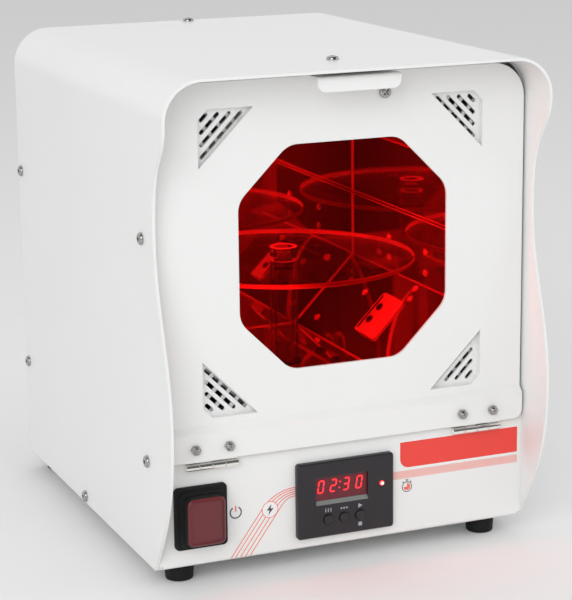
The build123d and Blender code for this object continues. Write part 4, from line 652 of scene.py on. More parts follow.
class Workbench:
    """Modelling calls on Blender's operators, shared by the sub-assemblies."""

    def __init__(self, frame: dict) -> None:
        """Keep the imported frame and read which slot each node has."""
        self.frame = frame
        self.slot_of = {part["node"]: part["material_slot"] for part in frame["record"]["subparts"]}

    @staticmethod
    def clear_selection() -> None:
        """Leave edit mode and deselect everything."""
        if bpy.context.object is not None and bpy.context.object.mode != "OBJECT":
            bpy.ops.object.mode_set(mode="OBJECT")
        bpy.ops.object.select_all(action="DESELECT")

    @classmethod
    def pick(cls, piece: bpy.types.Object) -> None:
        """Make one object the only selected and the active one."""
        cls.clear_selection()
        piece.select_set(True)
        bpy.context.view_layer.objects.active = piece

    def dress(self, *nodes: str) -> None:
        """Give CAD nodes the finish that their slot names."""
        for node in nodes:
            self.paint(self.frame["nodes"][node], SLOT_FINISH[self.slot_of[node]])
            LOG.info("dressed %s", node)

    @staticmethod
    def paint(piece: bpy.types.Object, finish: Finish) -> None:
        """Put one finish in every material slot of an object."""
        if not piece.material_slots:
            piece.data.materials.append(None)
        for place in piece.material_slots:
            place.material = finish.material()

    def settle(self, piece: bpy.types.Object, name: str, body: str, slot: str, finish: Finish) -> bpy.types.Object:
        """Name a new piece, dress it and hang it on its body.

        Args:
            piece: the finished object, at the origin.
            name: the piece's name.
            body: the CAD body that it moves with.
            slot: the record's material slot; not used.
            finish: its finish.

        Returns:
            The same object.
        """
        piece.name = name
        piece.data.name = name
        self.paint(piece, finish)
        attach(piece, body)
        LOG.info("made %s", name)
        return piece

    @classmethod
    def modify(cls, piece: bpy.types.Object, kind: str, **settings: object) -> None:
        """Add a modifier with the given settings and apply it."""
        cls.pick(piece)
        made = piece.modifiers.new(kind.lower(), kind)
        for key, value in settings.items():
            setattr(made, key, value)
        bpy.ops.object.modifier_apply(modifier=made.name)

    def softened(self, node: str, width: float, segments: int = 2, angle: float = 32.0) -> bpy.types.Object:
        """Copy a CAD node and round its sharp edges.

        Args:
            node: the CAD node's name.
            width: how wide each rounded edge is, in metres.
            segments: how many faces go round an edge.
            angle: edges sharper than this many degrees are rounded.

        Returns:
            The copy, which stands for the node.
        """
        source = self.frame["nodes"][node]
        body = source["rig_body"]
        self.pick(source)
        bpy.ops.object.duplicate(linked=False)
        copy = bpy.context.view_layer.objects.active
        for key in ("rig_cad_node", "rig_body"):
            if key in copy:
                del copy[key]
        self.pick(copy)
        bpy.ops.mesh.customdata_custom_splitnormals_clear()
        bpy.ops.object.mode_set(mode="EDIT")
        bpy.ops.mesh.select_all(action="SELECT")
        bpy.ops.mesh.remove_doubles(threshold=0.000002)
        bpy.ops.mesh.dissolve_limited(angle_limit=math.radians(0.4))
        bpy.ops.object.mode_set(mode="OBJECT")
        self.modify(
            copy, "BEVEL", width=width, segments=segments, limit_method="ANGLE", angle_limit=math.radians(angle)
        )
        bpy.ops.object.shade_smooth_by_angle(angle=math.radians(40.0))
        self.modify(copy, "WEIGHTED_NORMAL", keep_sharp=True)
        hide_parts(node)
        slot = self.slot_of[node]
        return self.settle(copy, node + "_rounded", body, slot, SLOT_FINISH[slot])

    def plate(self, outline: list[Flat], front: float, thickness: float, tilt: tuple | None = None) -> bpy.types.Object:
        """Cut a flat plate that faces the front.

        Args:
            outline: corners as panel millimetres (x, z), in order.
            front: the face's place, panel millimetres in y.
            thickness: how far the plate goes back, in millimetres.
            tilt: turns the plate about the line through (y, z) along x, as (y, z, degrees).

        Returns:
            The plate, at the origin.
        """
        self.clear_selection()
        bpy.ops.mesh.primitive_circle_add(vertices=len(outline), radius=0.001, fill_type="NGON")
        piece = bpy.context.object
        area = sum(a[0] * b[1] - b[0] * a[1] for a, b in zip(outline, outline[1:] + outline[:1]))
        corners = outline if area > 0 else outline[::-1]
        for vertex, (x, z) in zip(piece.data.vertices, corners):
            vertex.co = spot(x, front, z)
        bpy.ops.object.mode_set(mode="EDIT")
        bpy.ops.mesh.select_all(action="SELECT")
        bpy.ops.mesh.extrude_region_move(TRANSFORM_OT_translate={"value": (0.0, thickness / 1000.0, 0.0)})
        bpy.ops.mesh.select_all(action="SELECT")
        bpy.ops.mesh.normals_make_consistent(inside=False)
        bpy.ops.object.mode_set(mode="OBJECT")
        if tilt is not None:
            pivot = spot(0.0, tilt[0], tilt[1])
            turn = Matrix.Translation(pivot) @ Matrix.Rotation(math.radians(tilt[2]), 4, "X") @ Matrix.Translation(-pivot)
            piece.data.transform(turn)
        return piece

    @staticmethod
    def face_finish(piece: bpy.types.Object, finish: Finish, chosen: Callable[[Vector, Vector], bool]) -> None:
        """Give some of a piece's faces a finish of their own.

        Args:
            piece: the object.
            finish: the finish for the chosen faces.
            chosen: tells from a face's middle and normal whether it is taken.
        """
        piece.data.materials.append(finish.material())
        place = len(piece.data.materials) - 1
        for face in piece.data.polygons:
            if chosen(face.center, face.normal):
                face.material_index = place

    def rail(self, start: Vector, end: Vector, radius: float) -> bpy.types.Object:
        """Draw a thin round rail with softened ends between two points.

        Args:
            start: one end, in metres.
            end: the other end, in metres.
            radius: the rail's radius, in metres.

        Returns:
            The rail, at the origin.
        """
        way = end - start
        self.clear_selection()
        bpy.ops.mesh.primitive_cylinder_add(
            vertices=10, radius=radius, depth=way.length, end_fill_type="NGON", location=(start + end) / 2,
            rotation=way.to_track_quat("Z", "Y").to_euler(),
        )
        piece = bpy.context.object
        bpy.ops.object.transform_apply(location=True, rotation=True, scale=True)
        self.modify(piece, "BEVEL", width=radius * 0.4, segments=2, limit_method="ANGLE", angle_limit=math.radians(60.0))
        bpy.ops.object.shade_smooth_by_angle(angle=math.radians(50.0))
        return piece

    def ring_plate(self, outer: list[Flat], inner: list[Flat], front: float, thickness: float) -> bpy.types.Object:
        """Cut a flat frame that faces the front, from two outlines of equal corner count.

        Args:
            outer: the outer corners as panel millimetres (x, z), in order.
            inner: the opening's corners, in the same order.
            front: the face's place, panel millimetres in y.
            thickness: how far the frame goes back, in millimetres.

        Returns:
            The frame, at the origin.
        """
        self.clear_selection()
        count = len(outer)
        bpy.ops.mesh.primitive_circle_add(vertices=count, radius=0.001, fill_type="NOTHING")
        piece = bpy.context.object
        for vertex, (x, z) in zip(piece.data.vertices, outer):
            vertex.co = spot(x, front, z)
        bpy.ops.object.mode_set(mode="EDIT")
        bpy.ops.mesh.select_all(action="SELECT")
        bpy.ops.mesh.extrude_region_move(TRANSFORM_OT_translate={"value": (0.0, 0.0, 0.0)})
        bpy.ops.object.mode_set(mode="OBJECT")
        for vertex, (x, z) in zip(list(piece.data.vertices)[count:], inner):
            vertex.co = spot(x, front, z)
        bpy.ops.object.mode_set(mode="EDIT")
        bpy.ops.mesh.select_all(action="SELECT")
        bpy.ops.mesh.extrude_region_move(TRANSFORM_OT_translate={"value": (0.0, thickness / 1000.0, 0.0)})
        bpy.ops.mesh.select_all(action="SELECT")
        bpy.ops.mesh.normals_make_consistent(inside=False)
        bpy.ops.object.mode_set(mode="OBJECT")
        return piece

    def join(self, pieces: list[bpy.types.Object]) -> bpy.types.Object:
        """Join several objects into the first and return it."""
        self.clear_selection()
        for piece in pieces:
            piece.select_set(True)
        bpy.context.view_layer.objects.active = pieces[0]
        if len(pieces) > 1:
            bpy.ops.object.join()
        return pieces[0]


# ---------------------------------------------------------------------------
# Flat outlines
# ---------------------------------------------------------------------------


def arc(centre: Flat, radius: float, start: float, end: float, steps: int) -> list[Flat]:
    """Return points along an arc, angles in degrees from +x towards +z."""
    turns = [math.radians(start + (end - start) * i / steps) for i in range(steps + 1)]
    return [(centre[0] + radius * math.cos(t), centre[1] + radius * math.sin(t)) for t in turns]


def round_box(centre: Flat, width: float, height: float, radius: float, steps: int = 6) -> list[Flat]:
    """Return the corners of a box with round corners, anticlockwise from its lower right."""
    points: list[Flat] = []
    for sx, sz, start in ((1, -1, -90.0), (1, 1, 0.0), (-1, 1, 90.0), (-1, -1, 180.0)):
        middle = (centre[0] + sx * (width / 2 - radius), centre[1] + sz * (height / 2 - radius))
        points += arc(middle, radius, start, start + 90.0, steps)
    return points


def band(path: list[Flat], width: float) -> list[Flat]:
    """Return the outline of a line of the given width along a path.

    Args:
        path: the line's middle, as points.
        width: the line's width.

    Returns:
        The outline's corners, in order.
    """
    left: list[Flat] = []
    right: list[Flat] = []
    for i, here in enumerate(path):
        before = path[max(i - 1, 0)]
        after = path[min(i + 1, len(path) - 1)]
        way = Vector((after[0] - before[0], after[1] - before[1])).normalized()
        side = Vector((-way[1], way[0])) * width / 2
        left.append((here[0] + side[0], here[1] + side[1]))
        right.append((here[0] - side[0], here[1] - side[1]))
    return left + right[::-1]


def bend_into(start: Flat, heading: float, end: Flat, steps: int = 14) -> list[Flat]:
    """Return a straight run that turns in one arc to arrive level at its end.

    Args:
        start: where the run starts.
        heading: the run's direction, in degrees from +x.
        end: where it arrives, heading along +x.
        steps: how many pieces the arc has.

    Returns:
        The line's points.
    """
    slope = math.radians(heading)
    corner = start[0] + (end[1] - start[1]) / math.tan(slope)
    reach = end[0] - corner
    radius = reach / math.tan(slope / 2)
    centre = (end[0], end[1] - radius)
    return [start] + arc(centre, radius, 90.0 + heading, 90.0, steps)


# ---------------------------------------------------------------------------
# Sub-assemblies
# ---------------------------------------------------------------------------


@dataclass
class OuterCase:
    """The bent cover, the tray with the panel, the rear panel, feet and their screws."""

    bench: Workbench
    sheet_edge: float = 0.0005
    foot_round: float = 0.0042

    def build(self) -> None:
        """Round the sheet edges and the feet, and dress what stays as it is."""
        self.bench.softened("outer_cover", self.sheet_edge, 2)
        self.round_feet()
        self.bench.dress(
            "chassis_tray", "rear_panel", "front_bulkhead", "foot_screws", "cover_screws",
        )

    def round_feet(self) -> None:
        """Give the rubber feet their full round lower edge."""
        feet = self.bench.softened("feet", self.foot_round, 5, 50.0)
        feet.name = "rubber_feet"


@dataclass
class FrontDoor:
    """The door sheet with its pane, slotted plate, handle, catch screw and hinges."""

    bench: Workbench
    sheet_edge: float = 0.0004
    handle_edge: float = 0.0005

    def build(self) -> None:
        """Round the visible sheets and dress the rest."""
        self.bench.softened("door_panel", self.sheet_edge, 2)
        self.bench.softened("door_handle", self.handle_edge, 2)
        self.bench.dress(
            "door_window", "door_strike", "strike_screw", "magnet_catch", "door_sensor",
            "hinge_door_leaves", "hinge_case_leaves", "hinge_pins", "hinge_bolts", "acorn_nuts", "hinge_screws",
            "hinge_nuts",
        )
        self.bench.paint(self.bench.frame["nodes"]["door_inner_plate"], SATIN_STEEL)


@dataclass
class PanelPrint:
    """The printed marks on the control panel: lines, pictograms, banner and hatching."""

    bench: Workbench
    film: float = 0.06
    feet: tuple[float, ...] = (-76.2, -73.4, -70.1, -66.9, -63.8)
    rises: tuple[float, ...] = (40.4, 39.1, 37.7, 36.4, 35.0)
    line: float = 0.55
    disc: Flat = (-50.5, 28.6)
    disc_radius: float = 5.1
    power: Flat = (-72.8, 30.0)
    watch: Flat = (41.7, 30.2)
    banner_left: float = 37.0
    banner_right: float = 119.2
    banner_low: float = 42.7
    banner_high: float = 59.3
    hatch_low: float = 35.8
    hatch_high: float = 40.8
    hatch_left: float = 31.2
    hatch_pitch: float = 2.0
    hatch_line: float = 0.95
    hatch_lean: float = 8.5

    def build(self) -> None:
        """Print every mark on the panel's face."""
        self.run_lines()
        self.bolt_mark()
        self.power_mark()
        self.watch_mark()
        self.banner()
        self.hatching()

    def _ink(self, outlines: list[list[Flat]], name: str, finish: Finish, slot: str, lift: float = 0.0) -> None:
        """Lay outlines of one ink on the panel as one piece.

        Args:
            outlines: one list of corners to each patch of ink.
            name: the piece's name.
            finish: the ink.
            slot: the record's material slot.
            lift: how far in front of the first film, in millimetres.
        """
        patches = [self.bench.plate(shape, -self.film - lift, self.film + lift + 0.02) for shape in outlines]
        self.bench.settle(self.bench.join(patches), name, "case", slot, finish)

    def run_lines(self) -> None:
        """Print the five thin lines that rise from the edge and turn into the timer."""
        runs = [bend_into((foot, 1.3), 53.8, (-33.8, rise)) for foot, rise in zip(self.feet, self.rises)]
        self._ink([band(run, self.line) for run in runs], "panel_lines", FINE_RED_INK, "red_lamp")

    def bolt_mark(self) -> None:
        """Print the lightning bolt in its white disc over the lines."""
        x, z = self.disc
        disc = arc(self.disc, self.disc_radius, 0.0, 360.0 - 7.5, 47)
        self._ink([disc], "bolt_mark_ground", WHITE_INK, "white_paint", 0.02)
        rim = [band(arc(self.disc, self.disc_radius, half, half + 180.0, 24), 0.4) for half in (0.0, 180.0)]
        self._ink(rim, "bolt_mark_rim", FINE_RED_INK, "red_lamp", 0.04)
        bolt = [(0.9, 3.3), (-2.3, -0.5), (-0.35, -0.35), (-1.1, -3.4), (2.3, 0.75), (0.35, 0.6)]
        self._ink([[(x + a, z + b) for a, b in bolt]], "bolt_mark", GREY_INK, "black_plastic", 0.04)

    def power_mark(self) -> None:
        """Print the open ring and the bar beside the switch."""
        x, z = self.power
        ring = [band(arc(self.power, 3.55, 122.0, 270.0, 20), 0.8), band(arc(self.power, 3.55, 270.0, 418.0, 20), 0.8)]
        self._ink(ring, "power_mark_ring", GREY_INK, "black_plastic")
        bar = band([(x, z + 0.6), (x, z + 4.2)], 0.95)
        self._ink([bar], "power_mark_bar", FINE_RED_INK, "red_lamp")

    def watch_mark(self) -> None:
        """Print the stopwatch: rim, crown, side ticks and a three-quarter sector."""
        x, z = self.watch
        rim = [band(arc(self.watch, 3.2, half, half + 180.0, 24), 0.5) for half in (0.0, 180.0)]
        crown = [
            band([(x, z + 3.3), (x, z + 4.4)], 0.55),
            band([(x - 1.0, z + 4.5), (x + 1.0, z + 4.5)], 0.5),
        ]
        ticks = [band([(x + s * 2.3, z + 2.7), (x + s * 2.95, z + 3.5)], 0.7) for s in (-1, 1)]
        self._ink(rim + crown + ticks, "watch_mark_case", GREY_INK, "black_plastic")
        sector = [self.watch] + arc(self.watch, 2.3, -180.0, 90.0, 30)
        self._ink([sector], "watch_mark_sector", FINE_RED_INK, "red_lamp")

    def banner(self) -> None:
        """Print the plain red banner with its one round corner."""
        left, right, low, high = self.banner_left, self.banner_right, self.banner_low, self.banner_high
        corner = arc((left + 6.0, low + 6.0), 6.0, 180.0, 270.0, 12)
        self._ink([[(left, high)] + corner + [(right, low), (right, high)]], "panel_banner", RED_INK, "red_lamp")

    def hatching(self) -> None:
        """Print the band of leaning lines below the banner, cut square at both ends."""
        lines: list[list[Flat]] = []
        low, high, left, right = self.hatch_low, self.hatch_high, self.hatch_left, self.banner_right
        start = left - self.hatch_lean
        while start < right:
            quad = self._trimmed(start, low, high, left, right)
            if len(quad) > 2:
                lines.append(quad)
            start += self.hatch_pitch
        self._ink(lines, "panel_hatching", FINE_RED_INK, "red_lamp")

    def _trimmed(self, start: float, low: float, high: float, left: float, right: float) -> list[Flat]:
        """Return one leaning line, cut to the band's ends.

        Args:
            start: where the line's upper end begins, in x.
            low: the band's lower edge.
            high: the band's upper edge.
            left: the band's left end.
            right: the band's right end.

        Returns:
            The line's corners, fewer than three when it lies outside.
        """
        lean, wide = self.hatch_lean, self.hatch_line
        shape = [(start, high), (start + lean, low), (start + lean + wide, low), (start + wide, high)]
        for sign, limit in ((1.0, left), (-1.0, -right)):
            kept: list[Flat] = []
            for a, b in zip(shape, shape[1:] + shape[:1]):
                da, db = sign * a[0] - limit, sign * b[0] - limit
                if da >= 0:
                    kept.append(a)
                if (da >= 0) != (db >= 0):
                    share = da / (da - db)
                    kept.append((a[0] + (b[0] - a[0]) * share, a[1] + (b[1] - a[1]) * share))
            shape = kept
            if not shape:
                break
        return shape


@dataclass
class MainsSwitch:
    """The rocker switch: rubber frame, splash cap, red frame under it, lit rocker and its two signs."""

    bench: Workbench
    middle: Flat = (-95.7, 31.2)
    pivot: Flat = (3.0, 31.2)
    lean: float = 10.0
    cap_front: float = -13.0
    cap_wall: float = 1.0
    frame_size: Flat = (22.3, 27.8)
    outline_size: Flat = (19.0, 20.8)
    light_size: Flat = (15.8, 17.6)

    def build(self) -> None:
        """Round the moulded parts, set frame and signs under the cap and dress the rest."""
        self.bench.softened("switch_bezel", 0.0008, 3)
        self.bench.softened("switch_rocker", 0.0005, 2)
        self.bench.dress("switch_body", "switch_terminals", "switch_pin")
        self.cap()
        self.frame()
        self.signs()

    def cap(self) -> None:
        """Round the cap; its skirt gets black rubber, and every front face but the flat outer one, the front wall's
        inner face among them, gets the dark red frame finish.
        """
        cap = self.bench.softened("switch_cap", 0.0012, 3)
        limit = spot(0.0, self.cap_front + self.cap_wall + 0.3, 0.0).y
        self.bench.face_finish(cap, RUBBER, lambda middle, normal: middle.y > limit)
        self.bench.face_finish(cap, CAP_FRAME, lambda middle, normal: middle.y <= limit and normal.y > -0.96)

    def frame(self) -> None:
        """Set the dark red frame and the dark outline round the lit rocker."""
        back = self.cap_front + self.cap_wall + 0.1
        outer = round_box(self.middle, *self.frame_size, 2.8)
        inner = round_box(self.middle, *self.outline_size, 2.2)
        light = round_box(self.middle, *self.light_size, 1.2)
        red = self.bench.ring_plate(outer, inner, back, 1.0)
        self.bench.modify(red, "BEVEL", width=0.0002, segments=2, limit_method="ANGLE", angle_limit=math.radians(50.0))
        self.bench.settle(red, "switch_red_frame", "case", "red_cap", CAP_FRAME)
        dark = self.bench.ring_plate(inner, light, back + 0.35, 0.9)
        self.bench.modify(dark, "BEVEL", width=0.0002, segments=2, limit_method="ANGLE", angle_limit=math.radians(50.0))
        self.bench.settle(dark, "switch_dark_outline", "case", "black_rubber", RUBBER)

    def signs(self) -> None:
        """Put the ring and the bar on the rocker's face, turned with it."""
        x = self.middle[0]
        ring = [band(arc((x, 36.6), 2.2, half, half + 180.0, 20), 0.75) for half in (0.0, 180.0)]
        bar = band([(x, 23.6), (x, 27.9)], 0.85)
        tilt = (self.pivot[0], self.pivot[1], self.lean)
        front = self.pivot[0] - 12.2
        plates = [self.bench.plate(shape, front, 0.3, tilt) for shape in ring + [bar]]
        self.bench.settle(self.bench.join(plates), "rocker_signs", "switch_rocker", "white_paint", SIGN_WHITE)


@dataclass
class CountdownTimer:
    """The timer: bezel, tinted display with its digits, lamp, keys and key marks."""

    bench: Workbench
    face: float = -2.0
    digit_height: float = 7.5
    digit_width: float = 3.35
    bar: float = 0.88
    slant: float = 0.15
    centres: tuple[float, ...] = (-17.6, -9.3, -0.7, 8.0)
    middle: float = 38.8
    colon: float = -5.0
    reading: str = "0230"
    key_places: tuple[float, float, float] = (-13.6, -3.0, 7.8)
    lit_bars: dict[str, str] = field(
        default_factory=lambda: {"0": "abcdef", "1": "bc", "2": "abged", "3": "abgcd", "5": "afgcd"}
    )

    def build(self) -> None:
        """Round the moulded parts and set the display, ledge and marks."""
        self.bench.softened("timer_bezel", 0.0006, 3)
        for key in ("timer_key_left", "timer_key_middle", "timer_key_right"):
            self.bench.softened(key, 0.0004, 3)
        self.bench.dress("timer_display", "timer_lamp", "timer_board", "timer_key_switches")
        self.digits()
        self.ledge()
        self.key_wells()
        self.key_marks()

    def _bar_shapes(self, centre: float) -> dict[str, list[Flat]]:
        """Return the seven bars of one digit, leaned over.

        Args:
            centre: the digit's middle in x.

        Returns:
            The bars' outlines by their usual letters.
        """
        half_w, half_h, t = self.digit_width / 2, self.digit_height / 2, self.bar / 2
        gap = 0.12

        def level(z: float) -> list[Flat]:
            """Return a bar that lies level at height z."""
            a, b = -half_w + gap, half_w - gap
            return [(a, z), (a + t, z - t), (b - t, z - t), (b, z), (b - t, z + t), (a + t, z + t)]

        def upright(x: float, z0: float, z1: float) -> list[Flat]:
            """Return a bar that stands at x from z0 to z1."""
            a, b = z0 + gap, z1 - gap
            return [(x, a), (x + t, a + t), (x + t, b - t), (x, b), (x - t, b - t), (x - t, a + t)]

        shapes = {
            "a": level(half_h), "g": level(0.0), "d": level(-half_h),
            "b": upright(half_w, 0.0, half_h), "c": upright(half_w, -half_h, 0.0),
            "e": upright(-half_w, -half_h, 0.0), "f": upright(-half_w, 0.0, half_h),
        }
        return {
            key: [(centre + x + z * self.slant, self.middle + z) for x, z in shape] for key, shape in shapes.items()
        }

    def digits(self) -> None:
        """Set the four digits and the colon, lit and unlit bars apart."""
        lit: list[list[Flat]] = []
        dark: list[list[Flat]] = []
        for centre, figure in zip(self.centres, self.reading):
            for key, shape in self._bar_shapes(centre).items():
                (lit if key in self.lit_bars[figure] else dark).append(shape)
        for z in (-1.9, 1.9):
            lit.append(arc((self.colon + z * self.slant, self.middle + z), 0.5, 0.0, 337.5, 15))
        for shapes, name, finish, front in (
            (lit, "display_lit_bars", LIT_SEGMENT, self.face - 0.12),
            (dark, "display_dark_bars", DARK_SEGMENT, self.face - 0.06),
        ):
            plates = [self.bench.plate(shape, front, 0.14) for shape in shapes]
            self.bench.settle(self.bench.join(plates), name, "case", "display", finish)

    def ledge(self) -> None:
        """Lay the pale sloping ledge under the display window."""
        middle, half, reach = (-3.09, 28.97), 1.5, (-21.6, 13.2)
        corners = [(reach[0], middle[1] - half), (reach[1] + 0.9, middle[1] - half), (reach[1], middle[1] + half)]
        corners.append((reach[0], middle[1] + half))
        strip = self.bench.plate(corners, middle[0], 0.25, (*middle, -37.6))
        self.bench.modify(strip, "BEVEL", width=0.00012, segments=2, limit_method="ANGLE")
        self.bench.settle(strip, "display_ledge", "case", "display", LEDGE_PLASTIC)

    def key_wells(self) -> None:
        """Lay a thin black ring round each key: painted shade in the gap between key and face."""
        gap_shades = [
            self.bench.ring_plate(arc((x, 18.2), 3.55, 0.0, 352.5, 47), arc((x, 18.2), 3.22, 0.0, 352.5, 47), -4.02, 0.1)
            for x in self.key_places
        ]
        self.bench.settle(self.bench.join(gap_shades), "key_wells", "case", "key", RUBBER)

    def key_marks(self) -> None:
        """Print three ticks, three dots, a start triangle and a stop square by the keys."""
        front = -4.0 - 0.05
        left, middle, right = self.key_places
        marks = [band([(left + s * 1.7, 22.9), (left + s * 1.7, 25.3)], 0.6) for s in (-1, 0, 1)]
        marks += [arc((middle + s * 1.8, 24.1), 0.62, 0.0, 330.0, 11) for s in (-1, 0, 1)]
        marks.append([(right - 1.2, 22.7), (right + 1.5, 24.2), (right - 1.2, 25.7)])
        marks.append([(right - 1.2, 11.1), (right + 1.2, 11.1), (right + 1.2, 13.5), (right - 1.2, 13.5)])
        plates = [self.bench.plate(shape, front, 0.07) for shape in marks]
        self.bench.settle(self.bench.join(plates), "key_marks", "case", "key", MARK_INK)


@dataclass
class LightChamber:
    """The mirrored chamber with its bright sheet edges, lamps, lenses, modules and screws."""

    bench: Workbench
    half: float = 90.0
    low: float = 93.0
    high: float = 271.0
    leg: float = 45.0
    seam: float = 182.0
    front: float = 19.6
    back: float = 184.6
    fold: float = 0.55
    edge: float = 0.45
    slot_depth: float = 102.4

    def build(self) -> None:
        """Dress the liners, the lamps and the fasteners, and lay the bright edges."""
        modules = self.bench.softened("lamp_modules", 0.0009, 3)
        self.bench.face_finish(modules, BLACK_PLASTIC, self._in_slot)
        self.bench.dress(
            "chamber_lower_liner", "chamber_upper_liner", "chamber_back", "chamber_floor_screws", "lamp_boards",
            "lamp_heat_sinks", "lamp_lenses", "lamp_module_screws",
        )
        self.folds()
        self.seams()

    def _in_slot(self, middle: Vector, normal: Vector) -> bool:
        """Tell whether a face of a lamp module lies in its long slot."""
        away = middle - spot(0.0, self.slot_depth, self.low)
        height = (away.z - abs(away.x) + (self.half - self.leg) / 1000.0) / math.sqrt(2.0)
        return abs(away.y) < 0.0013 and 0.0005 < height < 0.0031

    def _section(self) -> list[Flat]:
        """Return the chamber's eight corners (x, z), drawn in by the edges' own thickness."""
        h, t = self.half - self.fold * 0.6, self.leg
        low, high = self.low + self.fold * 0.6, self.high - self.fold * 0.6
        inner = self.half - t
        return [
            (inner, low), (h, self.low + t), (h, self.high - t), (inner, high),
            (-inner, high), (-h, self.high - t), (-h, self.low + t), (-inner, low),
        ]

    def folds(self) -> None:
        """Lay a bright line along each bend of the liners and round the back plate."""
        corners = self._section()
        radius = self.fold / 1000.0
        rails = [self.bench.rail(spot(x, self.front, z), spot(x, self.back, z), radius) for x, z in corners]
        for (x0, z0), (x1, z1) in zip(corners, corners[1:] + corners[:1]):
            rails.append(self.bench.rail(spot(x0, self.back, z0), spot(x1, self.back, z1), radius))
        self.bench.settle(self.bench.join(rails), "liner_folds", "case", "bare_steel", FOLD_STEEL)

    def seams(self) -> None:
        """Lay the two sheet edges that meet at the chamber's middle height."""
        reach = self.half - self.edge * 0.7
        rails = []
        for side in (-1.0, 1.0):
            for rise in (-1.1, 1.1):
                z = self.seam + rise
                rails.append(
                    self.bench.rail(spot(side * reach, self.front, z), spot(side * reach, self.back, z), self.edge / 1000.0)
                )
        self.bench.settle(self.bench.join(rails), "liner_seams", "case", "bare_steel", FOLD_STEEL)


@dataclass
class Turntable:
    """The clear disc on its tube with the hub, shaft, cup and gear motor."""

    bench: Workbench
    disc_radius: float = 84.0
    axle: float = 95.0
    cup_top: float = 169.0

    def build(self) -> None:
        """Round the clear parts, frost their sawn edges and dress the rest."""
        disc = self.bench.softened("turntable_disc", 0.0005, 2)
        self.bench.face_finish(disc, SAWN_ACRYLIC, self._on_rim)
        tube = self.bench.softened("turntable_pillar", 0.0003, 2)
        self.bench.paint(tube, TUBE_ACRYLIC)
        self.bench.face_finish(tube, SAWN_ACRYLIC, lambda middle, normal: abs(normal.z) > 0.5)
        cup = self.bench.softened("turntable_cup", 0.0003, 2)
        self.bench.paint(cup, TUBE_ACRYLIC)
        top = spot(0.0, 0.0, self.cup_top - 0.5).z
        self.bench.face_finish(cup, SAWN_ACRYLIC, lambda middle, normal: middle.z > top)
        self.bench.dress("turntable_hub", "turntable_shaft", "turntable_motor")

    def _on_rim(self, middle: Vector, normal: Vector) -> bool:
        """Tell whether a face of the disc is on its outer rim."""
        away = middle - spot(0.0, self.axle, 0.0)
        return math.hypot(away.x, away.y) > (self.disc_radius - 0.7) / 1000.0


@dataclass
class RearServices:
    """The fan, mains inlet, power supply and driver board."""

    bench: Workbench

    def build(self) -> None:
        """Round the fan's and inlet's moulded edges and dress the rest."""
        self.bench.softened("fan_rotor", 0.0004, 2)
        self.bench.softened("mains_inlet", 0.0005, 2)
        self.bench.dress(
            "fan_housing", "fan_guard", "fan_screws", "inlet_pins", "fuse_drawer", "power_supply", "driver_board",
        )


# ---------------------------------------------------------------------------
# Studio
# ---------------------------------------------------------------------------


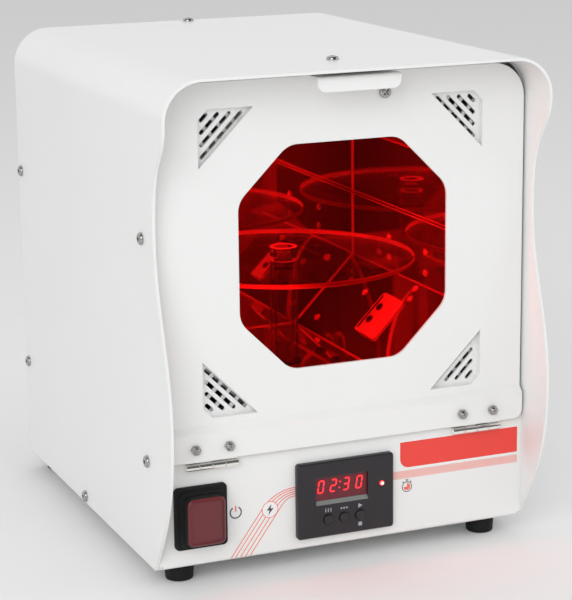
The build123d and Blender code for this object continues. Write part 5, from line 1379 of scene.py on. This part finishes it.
@dataclass
class Studio:
    """The pale floor, the soft lamps, the surrounding light and the camera."""

    bench: Workbench
    floor_half: float = 8.0
    surround: float = 0.68
    backdrop: Colour = (0.90, 0.90, 0.90)
    room: Colour = (0.07, 0.07, 0.075)
    azimuth: float = -0.396849595
    elevation: float = 0.236520188
    roll: float = -0.0116227
    distance: float = 1.36106197
    aim: tuple[float, float, float] = (3.5154, 100.0, 131.8313)
    lens: float = 126.27

    def build(self) -> None:
        """Set floor, surround, lamps and camera."""
        self.floor()
        self.world()
        self.lamp("key_softbox", (-1.5, -1.85, 1.25), (0.0, -0.1, 0.15), 1.6, 28.0)
        self.lamp("side_softbox", (1.7, -0.9, 1.0), (0.0, 0.0, 0.15), 1.3, 6.0)
        self.lamp("top_softbox", (0.1, 0.4, 2.1), (0.0, 0.0, 0.2), 1.6, 3.0)
        for number, (x, z) in enumerate(((-46.0, 240.0), (46.0, 240.0), (-46.0, 128.0))):
            lamp = self.lamp(f"chamber_lamp_{number}", spot(x, 13.0, z), spot(-0.3 * x, 120.0, 170.0), 0.005, 0.16)
            lamp.visible_transmission = lamp.visible_glossy = False
        lamp = self.lamp("door_side_lamp", spot(0.0, 150.0, 235.0), spot(0.0, 8.0, 180.0), 0.01, 0.05)
        lamp.visible_transmission = lamp.visible_glossy = False
        self.camera()

    def floor(self) -> None:
        """Lay the pale floor."""
        Workbench.clear_selection()
        bpy.ops.mesh.primitive_plane_add(size=2 * self.floor_half, location=(0.0, 0.0, 0.0))
        plane = bpy.context.object
        plane.name = "studio_floor"
        finish = Finish(
            "studio_floor", (0.86, 0.86, 0.86), roughness=0.8, grain=60.0, relief=0.0, roughness_spread=0.02,
            tint_spread=0.004, edge=0.0001, specular=0.1,
        )
        Workbench.paint(plane, finish)

    def world(self) -> None:
        """Surround the object with soft light, and show a pale ground to the camera, metal and glass."""
        world = bpy.data.worlds.new("studio")
        bpy.context.scene.world = world
        world.use_nodes = True
        world.node_tree.nodes.clear()
        w = Wiring(world.node_tree)
        path = w.add("ShaderNodeLightPath").outputs
        seen = w.sum("MAXIMUM", path[Ray.CAMERA.value], w.sum("MAXIMUM", path[Ray.GLOSSY.value], path[Ray.THROUGH.value]))
        way = w.add("ShaderNodeSeparateXYZ", {0: w.add("ShaderNodeTexCoord").outputs["Generated"]}).outputs
        front = w.spread(w.sum("SUBTRACT", way[1], w.sum("MULTIPLY", way[2], 0.6)), -0.75, 0.15, 1.0, 0.0)
        inside = w.sum("MULTIPLY", front, w.sum("SUBTRACT", 1.0, path[Ray.CAMERA.value]))
        ground = w.blend(inside, (*self.backdrop, 1.0), (*self.room, 1.0))
        soft = w.add("ShaderNodeBackground", {"Color": (1.0, 1.0, 1.0, 1.0), "Strength": self.surround})
        pale = w.add("ShaderNodeBackground", {"Color": ground, "Strength": 1.0})
        mixed = w.add("ShaderNodeMixShader", {0: seen, 1: soft.outputs[0], 2: pale.outputs[0]})
        w.add("ShaderNodeOutputWorld", {"Surface": mixed.outputs[0]})

    @staticmethod
    def lamp(name: str, place: Colour, target: Colour, size: float, power: float) -> bpy.types.Object:
        """Hang a square soft lamp.

        Args:
            name: the lamp's name.
            place: where it hangs, in metres.
            target: the point that it faces.
            size: its side, in metres.
            power: its power in watts.

        Returns:
            The lamp.
        """
        data = bpy.data.lights.new(name, "AREA")
        data.size = size
        data.energy = power
        lamp = bpy.data.objects.new(name, data)
        bpy.context.scene.collection.objects.link(lamp)
        lamp.location = place
        lamp.rotation_euler = (Vector(target) - Vector(place)).to_track_quat("-Z", "Y").to_euler()
        return lamp

    def camera(self) -> None:
        """Stand the camera where the photograph was taken from."""
        az, el = self.azimuth, self.elevation
        ahead = Vector((-math.sin(az) * math.cos(el), math.cos(az) * math.cos(el), -math.sin(el)))
        right = Vector((math.cos(az), math.sin(az), 0.0))
        up = right.cross(ahead)
        across = math.cos(self.roll) * right + math.sin(self.roll) * up
        upright = -math.sin(self.roll) * right + math.cos(self.roll) * up
        data = bpy.data.cameras.new("photo_camera")
        data.lens = self.lens
        data.sensor_width = 36.0
        data.sensor_fit = "AUTO"
        data.clip_start = 0.05
        data.clip_end = 60.0
        camera = bpy.data.objects.new("photo_camera", data)
        bpy.context.scene.collection.objects.link(camera)
        turn = Matrix((across, upright, -ahead)).transposed().to_4x4()
        turn.translation = spot(*self.aim) - self.distance * ahead
        camera.matrix_world = turn
        bpy.context.scene.camera = camera


def main() -> None:
    """Load the frame, build each sub-assembly in order and light the scene."""
    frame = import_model()
    bench = Workbench(frame)
    for unit in (
        Studio(bench),
        OuterCase(bench),
        FrontDoor(bench),
        PanelPrint(bench),
        MainsSwitch(bench),
        CountdownTimer(bench),
        LightChamber(bench),
        Turntable(bench),
        RearServices(bench),
    ):
        LOG.info("building %s", type(unit).__name__)
        unit.build()
    bpy.context.scene.view_settings.view_transform = "Standard"


if __name__ == "__main__":
    main()
